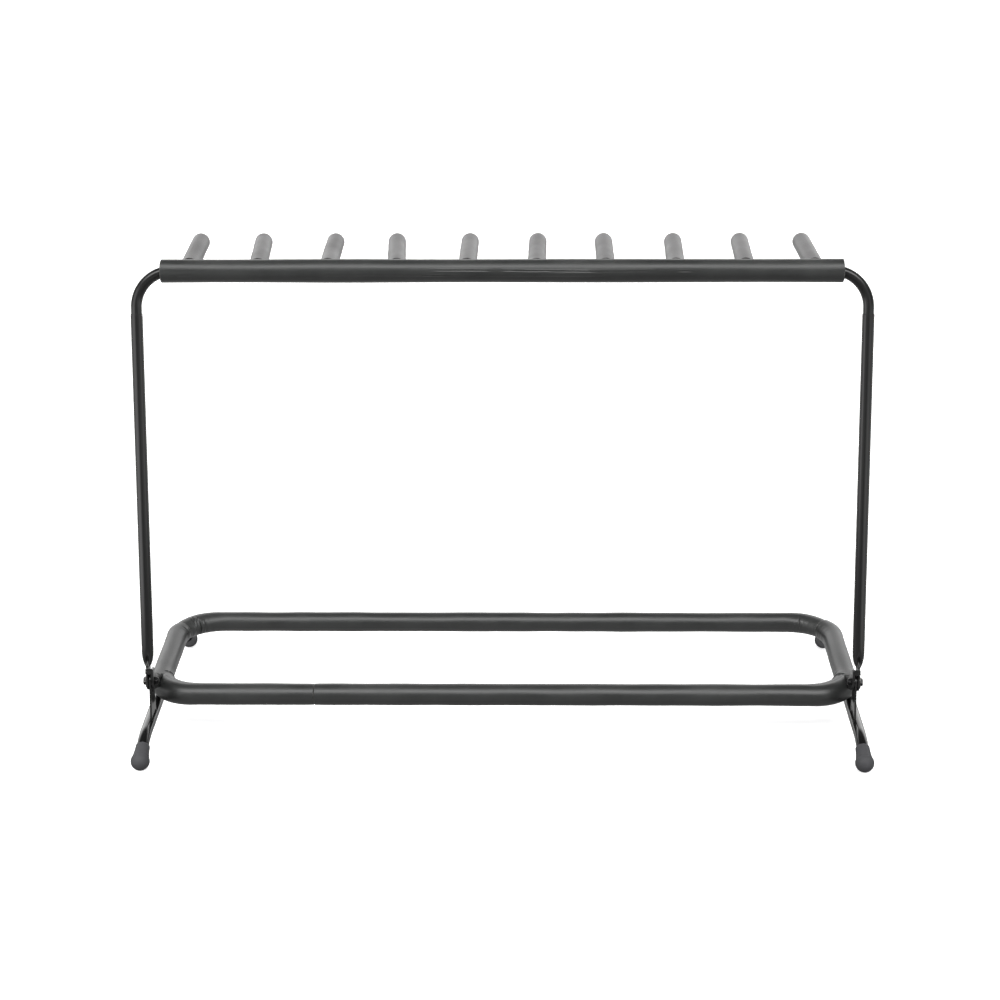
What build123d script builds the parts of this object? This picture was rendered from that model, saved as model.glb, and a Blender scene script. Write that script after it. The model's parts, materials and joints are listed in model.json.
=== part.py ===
"""Folding guitar rack for nine guitars, in millimetres.

+X runs along the rack, +Y points to the side where the guitars stand and +Z is up.  The origin is
the middle of the rack's footprint on the floor.

Two arched legs carry a padded loop, the cradle.  A leaning frame of bent tube stands on the same
two pivot bolts as the legs and the cradle.  Its padded rail holds ten padded pegs, and the nine
guitar necks rest between them.
"""

from build123d import *
from math import atan, cos, degrees, radians, sin, tan
import os

# Tube and sheet stock
TUBE_R = 8.0  # legs, uprights and cradle loop
TUBE_WALL = 1.2  # the rail fits inside the uprights, so their wall is TUBE_R - RAIL_R
RAIL_R = 7.2  # the top rail slides into the uprights
RAIL_WALL = 1.0
ROD_R = 6.35  # pegs
ROD_WALL = 1.2
PLATE = 2.5  # leg ears
LUG_PLATE = 3.0

# Pivot bolts, one on each side, along X
PIVOT_Y, PIVOT_Z = -126.0, 88.0
SIDE_X = 475.0  # plane of each leg and each upright
BOLT_R = 3.0
HOLE_R = 3.05
PLAY = 0.1  # between two parts that turn on each other

# Upper frame
LEAN = 7.2  # degrees from upright, towards the guitars
RAIL_UP = 549.15  # from the pivot to the axis of the rail, along the upright
RAIL_BEND_R = 48.0
JOINT_DROP = 56.0  # from the axis of the rail to the top of the uprights
SPIGOT = 25.0  # length of rail inside each upright
TAB_T, TAB_HALF_W = 3.0, 12.0
TAB_FLAT, TAB_ROUND = 20.5, 43.0  # heights above the pivot where the tab ends and the tube is round
RAIL_FOAM_R, RAIL_FOAM_LEN, RAIL_FOAM_CHAMFER = 15.2, 883.0, 1.5

# Pegs
PEG_COUNT, PEG_PITCH = 10, 90.5
PEG_RISE = 2.5  # degrees above level
PEG_TOE = (-1.5, -3.25, -0.5, -3.0, 0.25, 0.75, 0.25, 1.5, 1.5, -1.0)  # degrees to the side, as welded
PEG_FOAM_START, PEG_ROD_END, PEG_FOAM_END = 20.0, 156.0, 167.0  # from the axis of the rail
PEG_FOAM_R, PEG_DOME_R = 12.0, 11.0

# Cradle loop: a rectangle of tube with round corners, rising a little towards the guitars
LOOP_HALF_W, LOOP_CORNER_R = 471.5, 58.0
LOOP_BACK_Y, LOOP_FRONT_Y = -94.9, 149.6
LOOP_BACK_Z, LOOP_FRONT_Z = 55.6, 66.4
LOOP_FOAM_R = 14.3
BACK_SEAM_X = -256.0
DRAIN_R = 2.0
LEFT_SEAM, RIGHT_SEAM = 22.0, 36.0  # degrees round the front corners

# Legs and feet
FOOT_Y, FOOT_Z, FOOT_R = 217.7, 12.0, 12.5
FOOT_NECK_R, FOOT_NECK_LEN = 9.4, 26.5
LEG_END_Z = 13.0  # the leg ends inside the ball of the foot
LEG_BACK_KNEE_Y, LEG_FRONT_KNEE_Y, LEG_BEND_R = -178.0, 165.0, 90.0
FOOT_SHOULDER, FOOT_SIDE = 16.0, 30.0  # degrees: the neck meets the ball above its middle
FOAM_GAP = 0.3  # between the leg and the foam that rests on it
EAR_R, EAR_FOOT_W, EAR_FOOT_H = 11.0, 36.0, 2.0  # round end, and the edge that is welded to the leg
LUG_R, LUG_ROOT_R, LUG_ROOT_Y = 11.0, 6.5, -50.0  # round end, and the end inside the foam

# Hardware
HEAD_T, HEAD_FLATS = 3.6, 10.0
WASHER_T, WASHER_R = 1.4, 9.0
SPACER_T, SPACER_R = 0.7, 8.0
NUT_T, NUT_FLATS = 4.8, 10.0
BOLT_END_PAST_NUT = 0.5
LIP_T, LIP_LOW, LIP_HIGH = 3.0, 13.0, 19.5  # stop lip: thickness, and heights along the upright
LIP_NECK_W = 13.0  # of the plate below the lip

loop_slope = degrees(atan((LOOP_FRONT_Z - LOOP_BACK_Z) / (LOOP_FRONT_Y - LOOP_BACK_Y)))
loop_half_d = (LOOP_FRONT_Y - LOOP_BACK_Y) / 2 / cos(radians(loop_slope))
lean_y, lean_z = sin(radians(LEAN)), cos(radians(LEAN))
rail_y, rail_z = PIVOT_Y + RAIL_UP * lean_y, PIVOT_Z + RAIL_UP * lean_z

# Places of the pivot stack, measured out from the middle of the rack
tab_in = SIDE_X - TAB_T / 2
tab_out = SIDE_X + TAB_T / 2
washer_in = tab_out + PLAY
head_in = washer_in + WASHER_T
outer_spacer_in = tab_in - PLAY - SPACER_T
ear_in = outer_spacer_in - PLAY - PLATE
inner_spacer_in = ear_in - PLAY - SPACER_T
lug_in = inner_spacer_in - LUG_PLATE
nut_in = lug_in - NUT_T

# Planes.  In a side plane the local x is the rack's Y and the local y is Z.
frame_plane = Plane(origin=(0, PIVOT_Y, PIVOT_Z), x_dir=(1, 0, 0), z_dir=(0, -lean_z, lean_y))
loop_plane = Plane(
    origin=(0, (LOOP_BACK_Y + LOOP_FRONT_Y) / 2, (LOOP_BACK_Z + LOOP_FRONT_Z) / 2),
    x_dir=(1, 0, 0),
    z_dir=(0, -sin(radians(loop_slope)), cos(radians(loop_slope))),
)
SIDES = (("left", -1), ("right", 1))


def side_plane(x):
    """The vertical plane across the rack at x."""
    return Plane(origin=(x, 0, 0), x_dir=(0, 1, 0), z_dir=(1, 0, 0))


def pivot_plane(x):
    """The side plane at x with its origin on the pivot axis."""
    return Plane(origin=(x, PIVOT_Y, PIVOT_Z), x_dir=(0, 1, 0), z_dir=(1, 0, 0))


def inner_face(side, distance, thickness):
    """The lower x of a layer of the pivot stack that starts at distance from the middle."""
    return distance if side > 0 else -distance - thickness


def write(part, name):
    """Labels a finished piece and writes it as one STEP file."""
    part.label = name
    export_step(part, f"parts/{name}.step")


os.makedirs("parts", exist_ok=True)

# ---------------------------------------------------------------- upper frame: rail and pegs


def rail_curve():
    """The rail's path: up from one spigot, along the top and down to the other."""
    with BuildLine(frame_plane) as curve:
        foot = RAIL_UP - JOINT_DROP - SPIGOT
        FilletPolyline(
            (-SIDE_X, foot), (-SIDE_X, RAIL_UP), (SIDE_X, RAIL_UP), (SIDE_X, foot), radius=RAIL_BEND_R
        )
    return curve.wire()


rail_path = rail_curve()
rail_start = Plane(origin=rail_path @ 0, z_dir=rail_path % 0)

with BuildPart() as top_rail:
    with BuildSketch(rail_start):
        Circle(RAIL_R)
        Circle(RAIL_R - RAIL_WALL, mode=Mode.SUBTRACT)
    sweep(path=rail_path)
write(top_rail.part, "top_rail")

with BuildPart() as rail_envelope:
    with BuildSketch(rail_start):
        Circle(RAIL_R)
    sweep(path=rail_path)

peg_planes = []
for number, toe in enumerate(PEG_TOE):
    level = cos(radians(PEG_RISE))
    along = (sin(radians(toe)) * level, cos(radians(toe)) * level, sin(radians(PEG_RISE)))
    peg_x = (number - (PEG_COUNT - 1) / 2) * PEG_PITCH
    peg_planes.append(Plane(origin=(peg_x, rail_y, rail_z), x_dir=(1, 0, 0), z_dir=along))

with BuildPart() as rail_foam:
    with BuildSketch(Plane(origin=(-RAIL_FOAM_LEN / 2, rail_y, rail_z), z_dir=(1, 0, 0))):
        Circle(RAIL_FOAM_R)
    extrude(amount=RAIL_FOAM_LEN)
    chamfer(rail_foam.edges().filter_by(GeomType.CIRCLE), length=RAIL_FOAM_CHAMFER)
    add(rail_envelope.part, mode=Mode.SUBTRACT)
    for plane in peg_planes:
        with BuildSketch(plane):
            Circle(ROD_R)
        extrude(amount=PEG_FOAM_START, mode=Mode.SUBTRACT)
write(rail_foam.part, "rail_foam")

for number, plane in enumerate(peg_planes, start=1):
    with BuildPart() as peg_rod:
        with BuildSketch(plane):
            Circle(ROD_R)
            Circle(ROD_R - ROD_WALL, mode=Mode.SUBTRACT)
        extrude(amount=PEG_ROD_END)
        add(rail_envelope.part, mode=Mode.SUBTRACT)
    write(peg_rod.part, f"peg_rod_{number}")

    with BuildPart() as peg_foam:
        with BuildSketch(plane.offset(PEG_FOAM_START)):
            Circle(PEG_FOAM_R)
        extrude(amount=PEG_FOAM_END - PEG_FOAM_START)
        rims = peg_foam.edges().filter_by(GeomType.CIRCLE).sort_by(Axis(plane.origin, plane.z_dir))
        fillet(rims[-1], radius=PEG_DOME_R)
        with BuildSketch(plane.offset(PEG_FOAM_START)):
            Circle(ROD_R)
        extrude(amount=PEG_ROD_END - PEG_FOAM_START, mode=Mode.SUBTRACT)
    write(peg_foam.part, f"peg_foam_{number}")

# ---------------------------------------------------------------- upper frame: uprights


def upright_cut(x, height):
    """A plane square across the upright at a height above the pivot."""
    return Plane(
        origin=(x, PIVOT_Y + height * lean_y, PIVOT_Z + height * lean_z),
        x_dir=(1, 0, 0),
        z_dir=(0, lean_y, lean_z),
    )


for name, side in SIDES:
    x = side * SIDE_X
    with BuildPart() as upright:
        with BuildSketch(upright_cut(x, TAB_ROUND)):
            Circle(TUBE_R)
        extrude(amount=RAIL_UP - JOINT_DROP - TAB_ROUND)
        with BuildSketch(upright_cut(x, TAB_ROUND)):
            Circle(RAIL_R)
        extrude(amount=RAIL_UP - JOINT_DROP - TAB_ROUND, mode=Mode.SUBTRACT)
        with BuildSketch(upright_cut(x, TAB_FLAT)):
            SlotOverall(2 * TAB_HALF_W, TAB_T, rotation=90)
        with BuildSketch(upright_cut(x, TAB_ROUND)):
            with BuildLine():  # the round end as four arcs, one for each side of the flat end
                for quarter in range(4):
                    CenterArc((0, 0), TUBE_R, 90 * quarter - 45, 90)
            make_face()
        loft()
        with BuildSketch(upright_cut(x, 0)):
            SlotOverall(2 * TAB_HALF_W, TAB_T, rotation=90)
        extrude(amount=TAB_FLAT)
        with BuildSketch(pivot_plane(x - TAB_T / 2)):
            Circle(TAB_HALF_W)
        extrude(amount=TAB_T)
        with BuildSketch(pivot_plane(x - TAB_T / 2)):
            Circle(HOLE_R)
        extrude(amount=TAB_T, mode=Mode.SUBTRACT)
    write(upright.part, f"{name}_upright")

# ---------------------------------------------------------------- cradle


def loop_corner(side, end):
    """The centre of one corner arc, in the loop's plane."""
    return side * (LOOP_HALF_W - LOOP_CORNER_R), end * (loop_half_d - LOOP_CORNER_R)


def loop_point(side, end, angle):
    """The point at an angle round a corner, 0 on the side rail and 90 on the long bar."""
    across, along = loop_corner(side, end)
    return (
        across + side * LOOP_CORNER_R * cos(radians(angle)),
        along + end * LOOP_CORNER_R * sin(radians(angle)),
    )


def corner_arc(side, end, start, stop):
    """Part of one corner arc between two angles, in the order given."""
    middle = (start + stop) / 2
    ThreePointArc(loop_point(side, end, start), loop_point(side, end, middle), loop_point(side, end, stop))


def start_plane(wire):
    """The plane square across the start of a path."""
    return Plane(origin=wire @ 0, z_dir=wire % 0)


with BuildLine(loop_plane) as loop_line:
    Line(loop_point(-1, -1, 90), loop_point(1, -1, 90))
    corner_arc(1, -1, 90, 0)
    Line(loop_point(1, -1, 0), loop_point(1, 1, 0))
    corner_arc(1, 1, 0, 90)
    Line(loop_point(1, 1, 90), loop_point(-1, 1, 90))
    corner_arc(-1, 1, 90, 0)
    Line(loop_point(-1, 1, 0), loop_point(-1, -1, 0))
    corner_arc(-1, -1, 0, 90)
loop_path = loop_line.wire()

with BuildPart() as loop_envelope:
    with BuildSketch(start_plane(loop_path)):
        Circle(TUBE_R)
    sweep(path=loop_path)

with BuildPart() as loop_tube:
    add(loop_envelope.part)
    with BuildSketch(start_plane(loop_path)):
        Circle(TUBE_R - TUBE_WALL)
    sweep(path=loop_path, mode=Mode.SUBTRACT)
    with BuildSketch(loop_plane):  # drain hole, under the foam
        with Locations((0, -loop_half_d)):
            Circle(DRAIN_R)
    extrude(amount=-2 * TUBE_R, mode=Mode.SUBTRACT)
write(loop_tube.part, "loop_tube")

lug_root_z = LOOP_BACK_Z + (LUG_ROOT_Y - LOOP_BACK_Y) * tan(radians(loop_slope))
lip_outer = -TAB_HALF_W - PLAY - LIP_T  # back face of the lip, across the upright
neck_h = LIP_HIGH - LUG_R / 2

lugs = {}
for name, side in SIDES:
    with BuildPart() as lug:
        plate_x = inner_face(side, lug_in, LUG_PLATE)
        with BuildSketch(side_plane(plate_x)):
            with Locations((PIVOT_Y, PIVOT_Z)):
                Circle(LUG_R)
            with Locations((LUG_ROOT_Y, lug_root_z)):
                Circle(LUG_ROOT_R)
            make_hull()
            with Locations(Location((PIVOT_Y, PIVOT_Z), -LEAN)):
                with Locations((lip_outer + LIP_NECK_W / 2, LUG_R / 2 + neck_h / 2)):
                    Rectangle(LIP_NECK_W, neck_h)
        extrude(amount=LUG_PLATE)
        lip_x = inner_face(side, lug_in, tab_out - lug_in)
        with BuildSketch(side_plane(lip_x)):
            with Locations(Location((PIVOT_Y, PIVOT_Z), -LEAN)):
                with Locations((lip_outer + LIP_T / 2, (LIP_LOW + LIP_HIGH) / 2)):
                    Rectangle(LIP_T, LIP_HIGH - LIP_LOW)
        extrude(amount=tab_out - lug_in)
        with BuildSketch(pivot_plane(plate_x)):
            Circle(HOLE_R)
        extrude(amount=LUG_PLATE, mode=Mode.SUBTRACT)
        add(loop_envelope.part, mode=Mode.SUBTRACT)
    lugs[name] = lug.part.solids().sort_by(SortBy.VOLUME)[-1]
    write(Part(lugs[name].wrapped), f"{name}_lug")


def foam_sleeve(path, slit):
    """A foam tube round part of the loop, slit for the lug that comes through it."""
    with BuildPart() as sleeve:
        with BuildSketch(start_plane(path)):
            Circle(LOOP_FOAM_R)
            Circle(TUBE_R, mode=Mode.SUBTRACT)
        sweep(path=path)
        if slit:
            add(slit, mode=Mode.SUBTRACT)
    return sleeve.part


with BuildLine(loop_plane) as left_line:
    Line((BACK_SEAM_X, -loop_half_d), loop_point(-1, -1, 90))
    corner_arc(-1, -1, 90, 0)
    Line(loop_point(-1, -1, 0), loop_point(-1, 1, 0))
    corner_arc(-1, 1, 0, LEFT_SEAM)
write(foam_sleeve(left_line.wire(), lugs["left"]), "left_sleeve")

with BuildLine(loop_plane) as right_line:
    Line((BACK_SEAM_X, -loop_half_d), loop_point(1, -1, 90))
    corner_arc(1, -1, 90, 0)
    Line(loop_point(1, -1, 0), loop_point(1, 1, 0))
    corner_arc(1, 1, 0, RIGHT_SEAM)
write(foam_sleeve(right_line.wire(), lugs["right"]), "back_right_sleeve")

with BuildLine(loop_plane) as front_line:
    corner_arc(-1, 1, LEFT_SEAM, 90)
    Line(loop_point(-1, 1, 90), loop_point(1, 1, 90))
    corner_arc(1, 1, 90, RIGHT_SEAM)
write(foam_sleeve(front_line.wire(), None), "front_sleeve")

# ---------------------------------------------------------------- legs and feet

leg_drop = (LOOP_FOAM_R + TUBE_R + FOAM_GAP) / cos(radians(loop_slope))


def leg_height(y):
    """The height of the leg's level stretch, just under the side rail's foam."""
    return LOOP_BACK_Z + (y - LOOP_BACK_Y) * tan(radians(loop_slope)) - leg_drop


leg_points = (
    (-FOOT_Y, LEG_END_Z),
    (LEG_BACK_KNEE_Y, leg_height(LEG_BACK_KNEE_Y)),
    (LEG_FRONT_KNEE_Y, leg_height(LEG_FRONT_KNEE_Y)),
    (FOOT_Y, LEG_END_Z),
)

def ball_point(angle):
    """A point on the outline of the foot's ball, at an angle below its middle."""
    return FOOT_R * cos(radians(angle)), FOOT_R * sin(radians(angle))


for name, side in SIDES:
    x = side * SIDE_X
    with BuildLine(side_plane(x)) as leg_line:
        FilletPolyline(*leg_points, radius=LEG_BEND_R)
    leg_path = leg_line.wire()

    with BuildPart() as leg_tube:
        with BuildSketch(start_plane(leg_path)):
            Circle(TUBE_R)
            Circle(TUBE_R - TUBE_WALL, mode=Mode.SUBTRACT)
        sweep(path=leg_path)
    write(leg_tube.part, f"{name}_leg_tube")

    with BuildPart() as leg_envelope:
        with BuildSketch(start_plane(leg_path)):
            Circle(TUBE_R)
        sweep(path=leg_path)

    ear_x = inner_face(side, ear_in, PLATE)
    with BuildPart() as leg_ear:
        with BuildSketch(side_plane(ear_x)):
            with Locations((PIVOT_Y, PIVOT_Z)):
                Circle(EAR_R)
            with Locations((PIVOT_Y, leg_height(PIVOT_Y) + TUBE_R / 2)):
                Rectangle(EAR_FOOT_W, EAR_FOOT_H)
            make_hull()
        extrude(amount=PLATE)
        with BuildSketch(pivot_plane(ear_x)):
            Circle(HOLE_R)
        extrude(amount=PLATE, mode=Mode.SUBTRACT)
        add(leg_envelope.part, mode=Mode.SUBTRACT)
    write(leg_ear.part, f"{name}_leg_ear")

    for end_name, at, slope in (("back", 0, 1), ("front", 1, -1)):
        tip = leg_path @ at
        up_the_leg = (leg_path % at) * slope
        foot_plane = Plane(origin=(x, tip.Y, FOOT_Z), x_dir=(1, 0, 0), z_dir=up_the_leg)
        with BuildPart() as foot:
            with BuildSketch(Plane(origin=foot_plane.origin, x_dir=(1, 0, 0), z_dir=foot_plane.y_dir)):
                with BuildLine():
                    # local x is across the leg and local y runs down it
                    shoulder = ball_point(-FOOT_SHOULDER)
                    Line((0, -FOOT_NECK_LEN), (FOOT_NECK_R, -FOOT_NECK_LEN))
                    Line((FOOT_NECK_R, -FOOT_NECK_LEN), shoulder)
                    ThreePointArc(shoulder, ball_point(FOOT_SIDE), (0, FOOT_R))
                    Line((0, FOOT_R), (0, -FOOT_NECK_LEN))
                make_face()
            revolve(axis=Axis(foot_plane.origin, up_the_leg))
            with BuildSketch(Plane.XY):
                with Locations((x, tip.Y)):
                    Rectangle(2 * FOOT_NECK_LEN, 2 * FOOT_NECK_LEN)
            extrude(amount=-FOOT_R, mode=Mode.SUBTRACT)  # the flat underneath, at floor level
            add(leg_envelope.part, mode=Mode.SUBTRACT)
        write(foot.part, f"{name}_{end_name}_foot")

# ---------------------------------------------------------------- pivot hardware

with BuildPart() as pivot_bolts:
    for name, side in SIDES:
        end = nut_in - BOLT_END_PAST_NUT
        with BuildSketch(pivot_plane(inner_face(side, end, head_in - end))):
            Circle(BOLT_R)
        extrude(amount=head_in - end)
        with BuildSketch(pivot_plane(inner_face(side, head_in, HEAD_T))):
            RegularPolygon(HEAD_FLATS / 2, 6, major_radius=False)
        extrude(amount=HEAD_T)
write(pivot_bolts.part, "pivot_bolts")


def ring_pair(layers, outer_r):
    """A pair of round washers, one each side, for every layer of the stack."""
    with BuildPart() as rings:
        for start, thickness in layers:
            for side in (-1, 1):
                with BuildSketch(pivot_plane(inner_face(side, start, thickness))):
                    Circle(outer_r)
                    Circle(BOLT_R, mode=Mode.SUBTRACT)
                extrude(amount=thickness)
    return rings.part


write(ring_pair([(washer_in, WASHER_T)], WASHER_R), "pivot_washers")
write(ring_pair([(outer_spacer_in, SPACER_T), (inner_spacer_in, SPACER_T)], SPACER_R), "pivot_spacers")

with BuildPart() as lock_nuts:
    for name, side in SIDES:
        with BuildSketch(pivot_plane(inner_face(side, nut_in, NUT_T))):
            RegularPolygon(NUT_FLATS / 2, 6, major_radius=False)
            Circle(BOLT_R, mode=Mode.SUBTRACT)
        extrude(amount=NUT_T)
write(lock_nuts.part, "lock_nuts")
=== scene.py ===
"""Finished look of a folding guitar rack: foam sleeves, tubes, feet, pivot hardware, materials and stage.

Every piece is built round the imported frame, in metres, in the frame's own axes: +X along the rack,
+Y to the side where the guitars stand and +Z up.
"""

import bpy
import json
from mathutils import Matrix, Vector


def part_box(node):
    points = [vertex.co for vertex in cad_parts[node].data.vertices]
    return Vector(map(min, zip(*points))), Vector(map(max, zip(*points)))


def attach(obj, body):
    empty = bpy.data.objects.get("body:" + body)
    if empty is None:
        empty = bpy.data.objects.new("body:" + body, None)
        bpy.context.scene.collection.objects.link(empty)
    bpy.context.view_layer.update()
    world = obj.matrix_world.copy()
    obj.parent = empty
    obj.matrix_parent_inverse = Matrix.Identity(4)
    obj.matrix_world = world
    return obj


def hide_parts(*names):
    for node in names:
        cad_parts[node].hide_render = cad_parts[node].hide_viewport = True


bl_info = {
    "name": "Folding guitar rack",
    "version": (1, 0, 0),
    "blender": (4, 5, 0),
    "location": "3D View > Sidebar > Guitar rack",
    "description": "Foam sleeves, tubes, feet, hardware, materials and stage of a folding guitar rack",
    "category": "Object",
}

import json
import math

import bpy
import numpy as np
from bpy.props import FloatProperty, FloatVectorProperty, IntProperty, PointerProperty
from bpy.types import Operator, Panel, PropertyGroup
from mathutils import Matrix, Vector

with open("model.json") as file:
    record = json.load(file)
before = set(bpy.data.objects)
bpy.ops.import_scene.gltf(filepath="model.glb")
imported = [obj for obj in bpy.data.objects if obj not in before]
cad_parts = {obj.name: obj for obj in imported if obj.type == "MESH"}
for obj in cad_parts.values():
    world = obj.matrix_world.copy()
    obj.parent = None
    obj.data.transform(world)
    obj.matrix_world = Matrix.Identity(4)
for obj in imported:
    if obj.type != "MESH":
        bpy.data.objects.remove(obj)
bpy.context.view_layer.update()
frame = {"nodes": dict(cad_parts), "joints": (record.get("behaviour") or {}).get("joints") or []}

MM = 0.001
SIDES = (("left", -1.0), ("right", 1.0))
TAU = 2.0 * math.pi

# Pivot and upper frame
PIVOT = np.array(frame["joints"][0]["pos_m"], float)
LEAN = math.radians(7.2)
SIDE_X = 0.475  # plane of each leg and each upright
RAIL_UP = 0.54915  # from the pivot to the rail, along the upright
RAIL_BEND_R = 0.048
UPRIGHT_TOP = RAIL_UP - 0.056
SPIGOT = 0.025
SPIGOT_FIT = 0.0001  # between the rail and the upright round it
TAB_HALF_T, TAB_HALF_W = 0.0015, 0.012
TAB_FLAT, TAB_ROUND = 0.0205, 0.043
RAIL_AXIS = np.array(sum(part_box("rail_foam"), Vector()) / 2.0)
RAIL_FOAM_HALF = (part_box("rail_foam")[1].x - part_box("rail_foam")[0].x) / 2.0

# Pegs
PEG_PITCH = 0.0905
PEG_RISE = math.radians(2.5)
PEG_TOE = np.radians((-1.5, -3.25, -0.5, -3.0, 0.25, 0.75, 0.25, 1.5, 1.5, -1.0))
PEG_START, PEG_END, PEG_ROD_END = 0.020, 0.167, 0.156
ROD_R = 0.00635

# Cradle loop
LOOP_HALF_W, LOOP_CORNER_R = 0.4715, 0.058
LOOP_BACK, LOOP_FRONT = (-0.0949, 0.0556), (0.1496, 0.0664)  # Y and Z of the long bars
BACK_SEAM_X = -0.256
LEFT_SEAM, RIGHT_SEAM = math.radians(22.0), math.radians(36.0)
NEAR_SWELL, FAR_SWELL = 0.0045, 0.0012  # how far the foam bulges outside the loop's corners
LUG_X, LUG_ENTRY_Y = 0.4678, (-0.084, -0.062)  # where the lug plates go into the foam

# Legs and feet
FOOT_Y, FOOT_Z, LEG_END_Z = 0.2177, 0.012, 0.013
KNEES_Y, LEG_BEND_R = (-0.178, 0.165), 0.090
LEG_DROP = 0.0226  # from the loop's middle to the leg's middle
BALL_R, SHOULDER = 0.0125, math.radians(16.0)
NECK_R, NECK_LEN = 0.0094, 0.0265
EAR_FACES, EAR_HALF_LEN = (0.4701, 0.4726), 0.0175

# Pivot stack on each side, as distances from the middle of the rack
HEAD = (0.4780, 0.4816)
WASHER = (0.4766, 0.4780)
SPACERS = ((0.4727, 0.4734), (0.4693, 0.4700))
NUT = (0.4615, 0.4663)
BOLT_END = 0.4610
BOLT_R, WASHER_R, SPACER_R, FLATS = 0.003, 0.009, 0.008, 0.010

loop_slope = math.atan2(LOOP_FRONT[1] - LOOP_BACK[1], LOOP_FRONT[0] - LOOP_BACK[0])
loop_half_d = math.hypot(LOOP_FRONT[0] - LOOP_BACK[0], LOOP_FRONT[1] - LOOP_BACK[1]) / 2.0

# ------------------------------------------------------------------ sizes and colours to change


class RackFoam(PropertyGroup):
    """Sizes and colours of the foam sleeves."""

    loop_radius: FloatProperty(
        name="Cradle foam radius", description="Outer radius of the cradle sleeves", default=0.0143,
        min=0.010, max=0.020, subtype="DISTANCE", unit="LENGTH",
    )
    rail_radius: FloatProperty(
        name="Rail foam radius", description="Outer radius of the rail's sleeve", default=0.0152,
        min=0.010, max=0.020, subtype="DISTANCE", unit="LENGTH",
    )
    peg_radius: FloatProperty(
        name="Peg foam radius", description="Outer radius of the peg sleeves", default=0.0120,
        min=0.008, max=0.014, subtype="DISTANCE", unit="LENGTH",
    )
    wave: FloatProperty(
        name="Waviness", description="Height of the slow waves along the sleeves", default=0.00022,
        min=0.0, max=0.001, subtype="DISTANCE", unit="LENGTH",
    )
    crease: FloatProperty(
        name="Creases", description="Depth of the creases, as a share of their full depth", default=1.0,
        min=0.0, max=1.5, subtype="FACTOR",
    )
    around: IntProperty(
        name="Points around", description="Points round each long sleeve", default=144, min=48, max=200
    )
    colour: FloatVectorProperty(
        name="Foam", description="Colour of the cradle and rail foam", default=(0.0265, 0.0276, 0.0270),
        size=3, min=0.0, max=1.0, subtype="COLOR",
    )
    peg_colour: FloatVectorProperty(
        name="Peg foam", description="Colour of the peg foam", default=(0.028, 0.0258, 0.0255),
        size=3, min=0.0, max=1.0, subtype="COLOR",
    )


class RackMetal(PropertyGroup):
    """Sizes and colours of the tubes, plates and bolts."""

    tube_radius: FloatProperty(
        name="Tube radius", description="Outer radius of the legs and uprights", default=0.008,
        min=0.006, max=0.010, subtype="DISTANCE", unit="LENGTH",
    )
    rail_radius: FloatProperty(
        name="Rail radius", description="Outer radius of the top rail", default=0.0072,
        min=0.005, max=0.010, subtype="DISTANCE", unit="LENGTH",
    )
    plate_edge: FloatProperty(
        name="Plate edge", description="Rounding of the edges of the ears and lugs", default=0.0004,
        min=0.0, max=0.001, subtype="DISTANCE", unit="LENGTH",
    )
    paint: FloatVectorProperty(
        name="Paint", description="Colour of the powder coat", default=(0.0050, 0.0052, 0.0052),
        size=3, min=0.0, max=1.0, subtype="COLOR",
    )
    bare: FloatVectorProperty(
        name="Worn paint", description="Colour where the coat is rubbed thin", default=(0.075, 0.073, 0.07),
        size=3, min=0.0, max=1.0, subtype="COLOR",
    )
    bolt: FloatVectorProperty(
        name="Bolts", description="Colour of the blackened bolts, washers and nuts",
        default=(0.014, 0.014, 0.0145), size=3, min=0.0, max=1.0, subtype="COLOR",
    )
    rubber: FloatVectorProperty(
        name="Foot rubber", description="Colour of the feet", default=(0.0075, 0.0079, 0.0085),
        size=3, min=0.0, max=1.0, subtype="COLOR",
    )


class RackStage(PropertyGroup):
    """Floor, lights and camera."""

    floor: FloatVectorProperty(
        name="Floor", description="Colour of the floor", default=(0.92, 0.92, 0.92),
        size=3, min=0.0, max=1.0, subtype="COLOR",
    )
    floor_glow: FloatProperty(
        name="Floor glow", description="Light that comes up through the floor", default=0.65, min=0.0, max=2.0
    )
    softbox: FloatProperty(
        name="Softbox", description="Brightness of the long soft light above the camera", default=5.6,
        min=0.0, max=50.0,
    )
    backdrop: FloatProperty(
        name="Backdrop", description="Brightness of the white wall behind the rack", default=2.0,
        min=0.0, max=10.0,
    )
    room: FloatProperty(
        name="Room", description="Brightness of the rest of the room", default=0.08, min=0.0, max=5.0,
    )
    left_power: FloatProperty(
        name="Left panel", description="Power of the white panel on the left", default=3.6,
        min=0.0, max=100.0, unit="POWER",
    )
    right_power: FloatProperty(
        name="Right panel", description="Power of the white panel on the right", default=3.0,
        min=0.0, max=100.0, unit="POWER",
    )
    focal_length: FloatProperty(
        name="Focal length", description="Lens of the camera", default=79.2, min=20.0, max=200.0,
        unit="CAMERA",
    )


# ------------------------------------------------------------------ meshes


def grid_faces(rows, columns, wrap):
    """Quads between neighbouring rings of a grid.  Each ring closes on itself; wrap also joins the
    last ring to the first."""
    row = np.arange(rows if wrap else rows - 1)[:, None]
    column = np.arange(columns)[None, :]
    row_after, column_after = (row + 1) % rows, (column + 1) % columns
    corners = np.broadcast_arrays(
        row * columns + column,
        row * columns + column_after,
        row_after * columns + column_after,
        row_after * columns + column,
    )
    return np.stack(corners, -1).reshape(-1, 4)


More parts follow.
